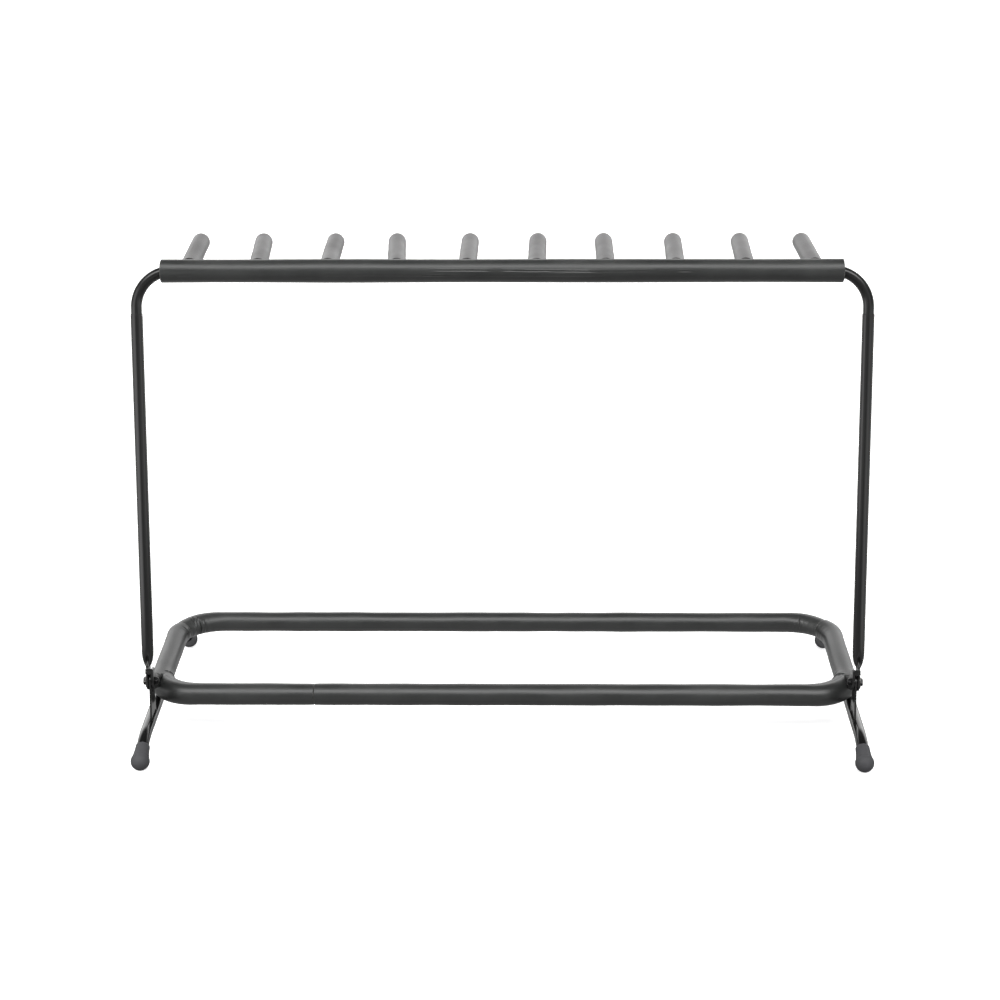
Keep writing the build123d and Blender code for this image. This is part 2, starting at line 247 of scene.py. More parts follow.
def closed_grid(rings, wrap=False, flat=None, worn=None):
    """A closed shape from an array of rings (rows, columns, 3).  Without wrap, each end ring is
    closed by a fan to its mean point.  flat is the same grid laid out straight, for patterns, and
    worn is 0 to 1 where the surface rubs."""
    rows, columns = rings.shape[:2]
    flat = rings if flat is None else flat
    worn = np.zeros((rows, columns)) if worn is None else np.broadcast_to(worn, (rows, columns))
    points, laid, rubbed = rings.reshape(-1, 3), flat.reshape(-1, 3), worn.reshape(-1)
    quads = grid_faces(rows, columns, wrap)
    fans = np.zeros((0, 3), int)
    if not wrap:
        ends = (0, rows - 1)
        points = np.vstack((points, [rings[e].mean(0) for e in ends]))
        laid = np.vstack((laid, [flat[e].mean(0) for e in ends]))
        rubbed = np.append(rubbed, [worn[e].mean() for e in ends])
        column = np.arange(columns)
        after = (column + 1) % columns
        first, last, poles = 0, (rows - 1) * columns, rows * columns
        fans = np.vstack((
            np.stack((first + after, first + column, np.full(columns, poles)), 1),
            np.stack((last + column, last + after, np.full(columns, poles + 1)), 1),
        ))
    if enclosed_volume(points, quads, fans) < 0:
        quads, fans = quads[:, ::-1], fans[:, ::-1]
    return {"points": points, "quads": quads, "fans": fans, "flat": laid, "worn": rubbed}


def enclosed_volume(points, quads, fans):
    """Volume inside the faces: a sixth of the sum of a . (b x c) over their triangles."""
    triangles = np.vstack((quads[:, [0, 1, 2]], quads[:, [0, 2, 3]], fans))
    a, b, c = (points[triangles[:, k]] for k in range(3))
    return np.einsum("ij,ij->", a, np.cross(b, c)) / 6.0


def together(shapes):
    """Several closed shapes as one."""
    offsets = np.cumsum([0] + [len(s["points"]) for s in shapes[:-1]])
    return {
        "points": np.vstack([s["points"] for s in shapes]),
        "quads": np.vstack([s["quads"] + o for s, o in zip(shapes, offsets)]),
        "fans": np.vstack([s["fans"] + o for s, o in zip(shapes, offsets)]),
        "flat": np.vstack([s["flat"] for s in shapes]),
        "worn": np.concatenate([s["worn"] for s in shapes]),
    }


def mirrored(shape):
    """The shape on the other side of the rack: x changes sign and the faces turn round."""
    flip = np.array((-1.0, 1.0, 1.0))
    return {
        "points": shape["points"] * flip,
        "quads": shape["quads"][:, ::-1],
        "fans": shape["fans"][:, ::-1],
        "flat": shape["flat"] * flip,
        "worn": shape["worn"],
    }


def add_piece(name, shape, material, body, replaced=(), sharp=math.radians(38.0)):
    """Puts a shape into the scene as a smooth-shaded piece that rides on a body."""
    mesh = bpy.data.meshes.new(name)
    mesh.from_pydata(shape["points"].tolist(), [], shape["quads"].tolist() + shape["fans"].tolist())
    mesh.attributes.new("laid_flat", "FLOAT_VECTOR", "POINT").data.foreach_set(
        "vector", shape["flat"].astype(np.float32).ravel()
    )
    mesh.attributes.new("worn", "FLOAT", "POINT").data.foreach_set(
        "value", shape["worn"].astype(np.float32)
    )
    mesh.polygons.foreach_set("use_smooth", np.ones(len(mesh.polygons), bool))
    mesh.set_sharp_from_angle(angle=sharp)
    mesh.materials.append(material)
    piece = bpy.data.objects.new(name, mesh)
    bpy.context.scene.collection.objects.link(piece)
    return hand_over(piece, body, replaced)


def hand_over(piece, body, replaced):
    """Puts a piece on the body it rides on and hides the nodes it stands for."""
    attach(piece, body)
    if replaced:
        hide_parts(*replaced)
    return piece


# ------------------------------------------------------------------ paths


def rounded_runs(corners, radius):
    """A polyline with rounded corners as its start, its first heading and (length, turn) runs."""
    steps = np.diff(np.asarray(corners, float), axis=0)
    lengths, headings = np.hypot(steps[:, 0], steps[:, 1]), np.arctan2(steps[:, 1], steps[:, 0])
    turns = (np.diff(headings) + math.pi) % TAU - math.pi
    cuts = np.concatenate(([0.0], radius * np.tan(np.abs(turns) / 2.0), [0.0]))
    straights = [(length, 0.0) for length in lengths - cuts[:-1] - cuts[1:]]
    arcs = [(radius * abs(turn), turn) for turn in turns]
    runs = [run for pair in zip(straights, arcs) for run in pair] + straights[-1:]
    return corners[0], headings[0], runs


def travel(start, heading, runs, distance):
    """Points and headings in a plane at distances along runs laid end to end.  A run with no turn
    is straight, and any other is an arc of radius length / turn."""
    points, headings = np.zeros((len(distance), 2)), np.zeros(len(distance))
    at, done = np.array(start, float), 0.0
    for length, turn in runs:
        here = distance >= done - 1e-12
        gone = np.append(np.clip(distance[here] - done, 0.0, length), length)
        if turn:
            angle = heading + gone * turn / length
            across = (np.sin(angle) - math.sin(heading)) * length / turn
            along = (math.cos(heading) - np.cos(angle)) * length / turn
        else:
            angle = np.full(len(gone), heading)
            across, along = gone * math.cos(heading), gone * math.sin(heading)
        points[here] = at + np.stack((across, along), 1)[:-1]
        headings[here] = angle[:-1]
        at = at + (across[-1], along[-1])
        heading, done = heading + turn, done + length
    return points, headings


def run_length(runs):
    """Length of the whole path."""
    return sum(length for length, _ in runs)


def spaced(length, step, fine_step=None, fine_places=()):
    """Distances from 0 to length, step apart, and fine_step apart inside the fine places."""
    parts = [np.arange(0.0, length, step), [length]]
    parts += [np.arange(max(a, 0.0), min(b, length), fine_step) for a, b in fine_places]
    places = np.unique(np.concatenate(parts).round(7))
    keep = np.append(np.diff(places) > (fine_step or step) * 0.35, True)
    return places[keep]


def rounded_rim(gap, rim):
    """How far a surface pulls in at a distance gap from its end, for an edge rounded by rim."""
    inside = np.clip(1.0 - gap / rim, 0.0, 1.0)
    return rim * (1.0 - np.sqrt(1.0 - inside**2))


def rings_round(centres, side, up, radius, angles):
    """Rings round a path: centre + radius x (cos of the angle x side + sin of the angle x up)."""
    spoke = side[:, None] * np.cos(angles)[None, :, None] + up[:, None] * np.sin(angles)[None, :, None]
    return centres[:, None] + np.broadcast_to(radius, spoke.shape[:2])[..., None] * spoke, spoke


def laid_flat(distance, angles, radius):
    """The same grid laid out straight: x is the distance along, y and z go round the section."""
    radius = np.broadcast_to(radius, (len(distance), len(angles)))
    x = np.broadcast_to(distance[:, None], radius.shape)
    return np.stack((x, radius * np.cos(angles), radius * np.sin(angles)), -1)


def slow_waves(distance, angles, seed, length=0.11, count=5):
    """Smooth waves over a sleeve, about -1 to 1: a sum of sines along it and round it."""
    rng = np.random.default_rng(seed)
    waves = np.zeros((len(distance), len(angles)))
    for _ in range(count):
        pitch = length * rng.uniform(0.6, 2.2)
        turns, phase, swing = rng.integers(0, 3), rng.uniform(0, TAU), rng.uniform(0, TAU)
        waves += np.sin(TAU * distance / pitch + phase)[:, None] * np.cos(turns * angles + swing)[None, :]
    return waves / math.sqrt(count)


def crease_field(distance, angles, radius, creases):
    """Height of creases over a sleeve.  Each crease is a line on the unrolled surface, from one
    (distance, angle) to another; across it the surface falls in a narrow groove and swells a
    little at both lips."""
    field = np.zeros((len(distance), len(angles)))
    for start, stop, width, depth in creases:
        from_angle, to_angle = math.radians(start[1]), math.radians(stop[1])
        middle = (from_angle + to_angle) / 2.0
        round_it = ((angles - middle + math.pi) % TAU - math.pi) * radius
        a = np.array((start[0], (from_angle - middle) * radius))
        b = np.array((stop[0], (to_angle - middle) * radius))
        line = b - a
        length = np.hypot(*line)
        u = ((distance[:, None] - a[0]) * line[0] + (round_it[None, :] - a[1]) * line[1]) / length
        v = ((distance[:, None] - a[0]) * line[1] - (round_it[None, :] - a[1]) * line[0]) / length
        fade = np.clip(np.minimum(u, length - u) / min(0.012, length / 2.5) + 0.25, 0.0, 1.0)
        fade = fade * fade * (3.0 - 2.0 * fade)
        groove = -np.exp(-((v / width) ** 2)) + 0.45 * np.exp(-(((np.abs(v) - 2.1 * width) / width) ** 2))
        field += depth * groove * fade
    return field


# ------------------------------------------------------------------ materials


def add_node(tree, kind, inputs=None, **settings):
    """A node with its settings and inputs: an input is a value, or the socket to link from."""
    node = tree.nodes.new(kind)
    for key, value in settings.items():
        setattr(node, key, value)
    for key, value in (inputs or {}).items():
        if isinstance(value, bpy.types.NodeSocket):
            tree.links.new(value, node.inputs[key])
        else:
            node.inputs[key].default_value = value
    return node


def new_group(name, inputs, output, output_type="NodeSocketFloat"):
    """An empty node group, its input sockets by name and its output node."""
    tree = bpy.data.node_groups.new(name, "ShaderNodeTree")
    for label, kind, value in inputs:
        socket = tree.interface.new_socket(label, in_out="INPUT", socket_type=kind)
        if value is not None:
            socket.default_value = value
    tree.interface.new_socket(output, in_out="OUTPUT", socket_type=output_type)
    source = tree.nodes.new("NodeGroupInput")
    return tree, {label: source.outputs[label] for label, _, _ in inputs}, tree.nodes.new("NodeGroupOutput")


def noise(tree, vector, scale, detail=3.0, roughness=0.55):
    """A noise value round 0.5."""
    inputs = {"Vector": vector, "Scale": scale, "Detail": detail, "Roughness": roughness}
    return add_node(tree, "ShaderNodeTexNoise", inputs).outputs["Fac"]


def maths(tree, operation, first, second=0.0, clamp=False):
    """One arithmetic step."""
    node = add_node(tree, "ShaderNodeMath", {0: first, 1: second}, operation=operation, use_clamp=clamp)
    return node.outputs[0]


def ramp(tree, value, low, high, to_low=0.0, to_high=1.0):
    """The value carried from low..high to to_low..to_high, smoothly and held at the ends."""
    inputs = {"Value": value, "From Min": low, "From Max": high, "To Min": to_low, "To Max": to_high}
    return add_node(
        tree, "ShaderNodeMapRange", inputs, interpolation_type="SMOOTHSTEP", clamp=True
    ).outputs["Result"]


def blend_colour(tree, share, first, second):
    """first where share is 0 and second where it is 1."""
    node = add_node(tree, "ShaderNodeMix", {"Factor": share}, data_type="RGBA")
    for socket, colour in (("A", first), ("B", second)):
        target = next(i for i in node.inputs if i.name == socket and i.type == "RGBA")
        if isinstance(colour, bpy.types.NodeSocket):
            tree.links.new(colour, target)
        else:
            target.default_value = (*colour, 1.0)
    return next(o for o in node.outputs if o.type == "RGBA")


def make_relief_group():
    """Fine relief: grain with slower unevenness under it, as a height from 0 to 1."""
    tree, given, out = new_group(
        "Fine relief",
        [("Vector", "NodeSocketVector", None), ("Grain", "NodeSocketFloat", 900.0),
         ("Unevenness", "NodeSocketFloat", 60.0), ("Slow share", "NodeSocketFloat", 0.4)],
        "Height",
    )
    grain = noise(tree, given["Vector"], given["Grain"], 2.0, 0.6)
    slow = noise(tree, given["Vector"], given["Unevenness"], 3.0)
    kept = maths(tree, "SUBTRACT", 1.0, given["Slow share"])
    height = maths(
        tree, "ADD", maths(tree, "MULTIPLY", grain, kept), maths(tree, "MULTIPLY", slow, given["Slow share"])
    )
    tree.links.new(height, out.inputs["Height"])
    return tree


def make_dust_group():
    """Dust film: a mask that is strongest on faces turned up and broken by noise."""
    tree, given, out = new_group(
        "Dust film",
        [("Vector", "NodeSocketVector", None), ("Patch size", "NodeSocketFloat", 30.0),
         ("Amount", "NodeSocketFloat", 0.3)],
        "Mask",
    )
    normal = add_node(tree, "ShaderNodeTexCoord").outputs["Normal"]
    facing = add_node(tree, "ShaderNodeSeparateXYZ", {"Vector": normal}).outputs["Z"]
    patches = ramp(tree, noise(tree, given["Vector"], given["Patch size"], 6.0, 0.65), 0.35, 0.75)
    specks = ramp(tree, noise(tree, given["Vector"], 2600.0, 2.0), 0.52, 0.72)
    lying = ramp(tree, facing, -0.2, 1.0, 0.15, 1.0)
    broken = maths(tree, "ADD", maths(tree, "MULTIPLY", patches, 0.7), maths(tree, "MULTIPLY", specks, 0.5))
    mask = maths(tree, "MULTIPLY", maths(tree, "MULTIPLY", broken, lying), given["Amount"], clamp=True)
    tree.links.new(mask, out.inputs["Mask"])
    return tree


def make_wear_group():
    """Edge wear: a mask that follows a piece's rubbed places and is broken by two noises."""
    tree, given, out = new_group(
        "Edge wear",
        [("Vector", "NodeSocketVector", None), ("Rubbed", "NodeSocketFloat", 0.0),
         ("Chip size", "NodeSocketFloat", 350.0), ("Amount", "NodeSocketFloat", 0.5)],
        "Mask",
    )
    chips = noise(tree, given["Vector"], given["Chip size"], 5.0, 0.7)
    areas = noise(tree, given["Vector"], 25.0, 3.0)
    reach = maths(tree, "ADD", maths(tree, "MULTIPLY", given["Rubbed"], 0.42), maths(tree, "MULTIPLY", areas, 0.16))
    mask = ramp(tree, maths(tree, "ADD", chips, reach), 0.86, 0.98)
    tree.links.new(maths(tree, "MULTIPLY", mask, given["Amount"], clamp=True), out.inputs["Mask"])
    return tree


def make_streak_group():
    """Streaks: long faint lines that run along a piece, round 0.5."""
    tree, given, out = new_group(
        "Streaks",
        [("Vector", "NodeSocketVector", None), ("Length scale", "NodeSocketFloat", 6.0),
         ("Width scale", "NodeSocketFloat", 500.0)],
        "Value",
    )
    stretch = add_node(
        tree, "ShaderNodeCombineXYZ",
        {"X": given["Length scale"], "Y": given["Width scale"], "Z": given["Width scale"]},
    ).outputs[0]
    drawn = add_node(
        tree, "ShaderNodeVectorMath", {0: given["Vector"], 1: stretch}, operation="MULTIPLY"
    ).outputs[0]
    tree.links.new(noise(tree, drawn, 1.0, 4.0, 0.6), out.inputs["Value"])
    return tree


def use_group(tree, name, inputs):
    """Places a node group and gives back its only output."""
    group = tree.nodes.new("ShaderNodeGroup")
    group.node_tree = bpy.data.node_groups[name]
    for key, value in inputs.items():
        if isinstance(value, bpy.types.NodeSocket):
            tree.links.new(value, group.inputs[key])
        else:
            group.inputs[key].default_value = value
    return group.outputs[0]


def new_material(name, fixed):
    """A material with a Principled shader whose plain sockets are set from fixed."""
    material = bpy.data.materials.new(name)
    material.use_nodes = True
    tree = material.node_tree
    shader = next(n for n in tree.nodes if n.type == "BSDF_PRINCIPLED")
    for key, value in fixed.items():
        shader.inputs[key].default_value = value
    return material, tree, shader


def attribute(tree, name, output):
    """A mesh attribute's value."""
    return add_node(tree, "ShaderNodeAttribute", attribute_name=name).outputs[output]


def object_place(tree):
    """Object coordinates, in metres."""
    return add_node(tree, "ShaderNodeTexCoord").outputs["Object"]


def bump(tree, shader, height, depth, strength=1.0):
    """Turns a height into the shader's normal."""
    inputs = {"Height": height, "Distance": depth, "Strength": strength}
    tree.links.new(add_node(tree, "ShaderNodeBump", inputs).outputs["Normal"], shader.inputs["Normal"])


def scaled_colour(colour, factor):
    """A colour made lighter or darker."""
    return tuple(min(1.0, c * factor) for c in colour)


def make_foam(name, colour, shine, sheen, streaks, dust):
    """Closed-cell foam: a skinned matte surface with fine cells, die lines along its length,
    uneven tone, a little dust and paler rubbed ends."""
    material, tree, shader = new_material(
        name, {"Specular IOR Level": shine, "Sheen Weight": sheen, "Sheen Roughness": 0.4}
    )
    place = attribute(tree, "laid_flat", "Vector")
    lines = use_group(tree, "Streaks", {"Vector": place, "Length scale": 5.0, "Width scale": 420.0})
    tone = noise(tree, place, 16.0, 5.0, 0.6)
    cells = noise(tree, place, 1500.0, 2.0, 0.6)
    shade = ramp(tree, tone, 0.3, 0.7)
    base = blend_colour(tree, shade, scaled_colour(colour, 0.86), scaled_colour(colour, 1.16))
    lined = blend_colour(
        tree, maths(tree, "MULTIPLY", ramp(tree, lines, 0.45, 0.75), streaks), base, scaled_colour(colour, 1.9)
    )
    speckled = blend_colour(
        tree, maths(tree, "MULTIPLY", ramp(tree, cells, 0.5, 0.8), 0.35), lined, scaled_colour(colour, 0.55)
    )
    film = use_group(tree, "Dust film", {"Vector": place, "Patch size": 22.0, "Amount": dust})
    dusty = blend_colour(tree, film, speckled, (0.17, 0.168, 0.16))
    rubbed = use_group(
        tree, "Edge wear",
        {"Vector": place, "Rubbed": attribute(tree, "worn", "Fac"), "Chip size": 260.0, "Amount": 0.22},
    )
    tree.links.new(blend_colour(tree, rubbed, dusty, (0.21, 0.205, 0.19)), shader.inputs["Base Color"])
    rough = maths(tree, "ADD", ramp(tree, tone, 0.3, 0.7, 0.35, 0.42), maths(tree, "MULTIPLY", film, 0.4))
    tree.links.new(rough, shader.inputs["Roughness"])
    relief = use_group(
        tree, "Fine relief", {"Vector": place, "Grain": 1500.0, "Unevenness": 240.0, "Slow share": 0.5}
    )
    height = maths(tree, "ADD", relief, maths(tree, "MULTIPLY", lines, 0.6))
    bump(tree, shader, height, 0.00022, 0.55)
    return material


def make_paint(name, colour, bare, roughness, place_kind="laid_flat", wear=0.5, metallic_wear=0.6):
    """Black powder coat: orange-peel skin, uneven gloss, faint rub marks and thin places."""
    material, tree, shader = new_material(
        name, {"Specular IOR Level": 0.5, "Coat Roughness": 0.12, "Coat IOR": 1.5}
    )
    place = object_place(tree) if place_kind == "object" else attribute(tree, "laid_flat", "Vector")
    rubbed = 0.0 if place_kind == "object" else attribute(tree, "worn", "Fac")
    tone = noise(tree, place, 35.0, 4.0)
    base = blend_colour(tree, tone, scaled_colour(colour, 0.7), scaled_colour(colour, 1.35))
    film = use_group(tree, "Dust film", {"Vector": place, "Patch size": 28.0, "Amount": 0.03})
    dusty = blend_colour(tree, film, base, (0.13, 0.13, 0.125))
    worn = use_group(
        tree, "Edge wear", {"Vector": place, "Rubbed": rubbed, "Chip size": 420.0, "Amount": wear}
    )
    tree.links.new(blend_colour(tree, worn, dusty, bare), shader.inputs["Base Color"])
    tree.links.new(maths(tree, "MULTIPLY", worn, metallic_wear), shader.inputs["Metallic"])
    marks = use_group(tree, "Streaks", {"Vector": place, "Length scale": 14.0, "Width scale": 260.0})
    gloss = maths(tree, "ADD", ramp(tree, tone, 0.3, 0.7, roughness - 0.04, roughness + 0.05),
                  maths(tree, "MULTIPLY", ramp(tree, marks, 0.55, 0.75), 0.10))
    rough = maths(tree, "ADD", gloss, maths(tree, "MULTIPLY", film, 0.8), clamp=True)
    tree.links.new(rough, shader.inputs["Roughness"])
    tree.links.new(ramp(tree, tone, 0.3, 0.7, 0.15, 0.35), shader.inputs["Coat Weight"])
    relief = use_group(
        tree, "Fine relief", {"Vector": place, "Grain": 1100.0, "Unevenness": 330.0, "Slow share": 0.7}
    )
    bump(tree, shader, relief, 0.00012, 0.35)
    return material


def make_rubber(name, colour):
    """Moulded rubber: matte and finely pitted, scuffed where it rubs and dusty on top."""
    material, tree, shader = new_material(
        name, {"Specular IOR Level": 0.2, "Sheen Weight": 0.01, "Sheen Roughness": 0.5}
    )
    place = attribute(tree, "laid_flat", "Vector")
    tone = noise(tree, place, 90.0, 5.0, 0.65)
    base = blend_colour(tree, tone, scaled_colour(colour, 0.7), scaled_colour(colour, 1.3))
    film = use_group(tree, "Dust film", {"Vector": place, "Patch size": 70.0, "Amount": 0.12})
    dusty = blend_colour(tree, film, base, (0.10, 0.10, 0.097))
    worn = use_group(
        tree, "Edge wear",
        {"Vector": place, "Rubbed": attribute(tree, "worn", "Fac"), "Chip size": 300.0, "Amount": 0.45},
    )
    tree.links.new(blend_colour(tree, worn, dusty, (0.16, 0.16, 0.158)), shader.inputs["Base Color"])
    tree.links.new(ramp(tree, tone, 0.3, 0.7, 0.5, 0.68), shader.inputs["Roughness"])
    relief = use_group(
        tree, "Fine relief", {"Vector": place, "Grain": 2200.0, "Unevenness": 420.0, "Slow share": 0.35}
    )
    bump(tree, shader, relief, 0.00025, 0.6)
    return material


def make_steel(name, colour):
    """Blackened steel: satin metal with turned marks and brighter corners."""
    material, tree, shader = new_material(name, {"Specular IOR Level": 0.5})
    place = attribute(tree, "laid_flat", "Vector")
    tone = noise(tree, place, 260.0, 4.0)
    base = blend_colour(tree, tone, scaled_colour(colour, 0.7), scaled_colour(colour, 1.6))
    worn = use_group(
        tree, "Edge wear",
        {"Vector": place, "Rubbed": attribute(tree, "worn", "Fac"), "Chip size": 900.0, "Amount": 0.8},
    )
    tree.links.new(blend_colour(tree, worn, base, (0.17, 0.165, 0.16)), shader.inputs["Base Color"])
    tree.links.new(ramp(tree, worn, 0.0, 1.0, 0.75, 1.0), shader.inputs["Metallic"])
    marks = use_group(tree, "Streaks", {"Vector": place, "Length scale": 3000.0, "Width scale": 60.0})
    tree.links.new(ramp(tree, marks, 0.3, 0.75, 0.26, 0.5), shader.inputs["Roughness"])
    relief = use_group(
        tree, "Fine relief", {"Vector": place, "Grain": 5000.0, "Unevenness": 900.0, "Slow share": 0.4}
    )
    bump(tree, shader, relief, 0.00005, 0.5)
    return material


def make_nylon(name):
    """Black nylon: waxy, a little see-through at its edges in life, here a soft dark gloss."""
    material, tree, shader = new_material(name, {"Specular IOR Level": 0.5})
    place = attribute(tree, "laid_flat", "Vector")
    tone = noise(tree, place, 500.0, 3.0)
    tree.links.new(blend_colour(tree, tone, (0.012, 0.012, 0.012), (0.035, 0.034, 0.033)), shader.inputs["Base Color"])
    tree.links.new(ramp(tree, tone, 0.3, 0.7, 0.32, 0.48), shader.inputs["Roughness"])
    relief = use_group(
        tree, "Fine relief", {"Vector": place, "Grain": 4000.0, "Unevenness": 800.0, "Slow share": 0.5}
    )
    bump(tree, shader, relief, 0.00004, 0.5)
    return material


# ------------------------------------------------------------------ shapes


def frame_point(x, height, across=0.0):
    """A point of the leaning frame: height along the upright from the pivot, across square to it."""
    y = PIVOT[1] + height * math.sin(LEAN) + across * math.cos(LEAN)
    z = PIVOT[2] + height * math.cos(LEAN) - across * math.sin(LEAN)
    return np.stack(np.broadcast_arrays(x, y, z), -1)


def loop_place(points):
    """Points of the cradle's plane, given along X and along its slope, in the rack's axes."""
    y = (LOOP_BACK[0] + LOOP_FRONT[0]) / 2.0 + points[:, 1] * math.cos(loop_slope)
    z = (LOOP_BACK[1] + LOOP_FRONT[1]) / 2.0 + points[:, 1] * math.sin(loop_slope)
    return np.stack((points[:, 0], y, z), 1)


def hollow_sweep(distance, centres, side, up, outer, bore, angles, rim):
    """A tube with thickness round a path: the outer surface with rounded ends, then the end face
    and the bore back to the start, joined up.  outer is the radius at each point of the grid."""
    gap = np.minimum(distance - distance[0], distance[-1] - distance)
    outer = outer - rounded_rim(gap, rim)[:, None]
    outside, _ = rings_round(centres, side, up, outer, angles)
    lip = np.maximum(outer[[-1, 0]] - rim, bore)
    last, first = (rings_round(centres[[i]], side[[i]], up[[i]], r, angles)[0] for i, r in ((-1, lip[:1]), (0, lip[1:])))
    back = np.unique(np.linspace(0, len(distance) - 1, max(12, len(distance) // 4)).astype(int))[::-1]
    inside, _ = rings_round(centres[back], side[back], up[back], bore, angles)
    rings = np.concatenate((outside, last, inside, first))
    flat = np.concatenate((
        laid_flat(distance, angles, outer), laid_flat(distance[[-1]], angles, lip[:1]),
        laid_flat(distance[back], angles, bore), laid_flat(distance[[0]], angles, lip[1:]),
    ))
    near_end = np.exp(-gap / 0.003)[:, None] * np.ones((1, len(angles)))
    ends = np.ones((1, len(angles)))
    worn = np.concatenate((near_end, ends, np.zeros((len(back), len(angles))), ends))
    return rings, flat, worn


def cradle_sleeve(start, heading, runs, outward, creases, fullness, props, seed):
    """One cradle sleeve: a foam tube round part of the loop.  Its radius is the plain radius with
    slow waves, small wrinkles inside each bend and a swelling outside it, creases, a slit that
    hugs the lug plate, and slightly pinched ends."""
    radius = props.loop_radius * fullness
    length = run_length(runs)
    fine = [(min(a[0], b[0]) - 0.007, max(a[0], b[0]) + 0.007) for a, b, _, _ in creases]
    fine += [(0.0, 0.006), (length - 0.006, length)]
    distance = spaced(length, 0.003, 0.0008, fine)
    angles = np.linspace(0.0, TAU, props.around, endpoint=False)
    points, headings = travel(start, heading, runs, distance)
    side = outward * np.stack((-np.sin(headings), np.cos(headings) * math.cos(loop_slope),
                               np.cos(headings) * math.sin(loop_slope)), 1)
    up = np.broadcast_to((0.0, -math.sin(loop_slope), math.cos(loop_slope)), side.shape)
    centres = loop_place(points)

    bend, swell = np.zeros(len(distance)), np.zeros(len(distance))
    done = 0.0
    for run, turn in runs:
        if turn:
            into = np.clip(np.minimum(distance - done, done + run - distance) / 0.015 + 0.4, 0.0, 1.0)
            bend = np.maximum(bend, into)
            share = np.clip((distance - done) / run, 0.0, 1.0)
            swell += (NEAR_SWELL if abs(turn) > 1.4 else FAR_SWELL) * np.sin(math.pi * share)
        done += run
    inner = np.clip(-np.cos(angles), 0.0, 1.0)[None, :] ** 2
    wrinkles = np.sin(TAU * distance / 0.0105 + 0.8 * np.sin(distance * 130.0))[:, None]
    outer = radius + props.wave * slow_waves(distance, angles, seed)
    outer = outer + bend[:, None] * inner * (0.0016 + 0.00022 * wrinkles)
    outer = outer + swell[:, None] * np.clip(np.cos(angles), 0.0, 1.0)[None, :]
    outer = outer + props.crease * crease_field(distance, angles, radius, creases)

    rough, _ = rings_round(centres, side, up, outer, angles)
    off_plate = np.abs(rough[..., 0]) - LUG_X
    window = np.clip((rough[..., 1] - LUG_ENTRY_Y[0]) / 0.004, 0, 1) * np.clip((LUG_ENTRY_Y[1] - rough[..., 1]) / 0.004, 0, 1)
    above = np.clip(np.sin(angles) * 4.0, 0.0, 1.0)[None, :]
    outer = outer - window * above * (
        0.0013 * np.exp(-((off_plate / 0.0022) ** 2)) - 0.0005 * np.exp(-(((np.abs(off_plate) - 0.005) / 0.002) ** 2))
    )
    gap = np.minimum(distance, length - distance)
    outer = outer - 0.00035 * np.exp(-gap / 0.004)[:, None]
    rings, flat, worn = hollow_sweep(distance, centres, side, up, outer, 0.00805, angles, 0.0009)
    return closed_grid(rings, wrap=True, flat=flat, worn=worn)


def peg_direction(number):
    """Unit direction of a peg, out from the rail."""
    toe = PEG_TOE[number]
    return np.array((math.sin(toe) * math.cos(PEG_RISE), math.cos(toe) * math.cos(PEG_RISE), math.sin(PEG_RISE)))


def peg_root(number):
    """Where a peg's axis meets the rail's."""
    return np.array(((number - (len(PEG_TOE) - 1) / 2.0) * PEG_PITCH, RAIL_AXIS[1], RAIL_AXIS[2]))


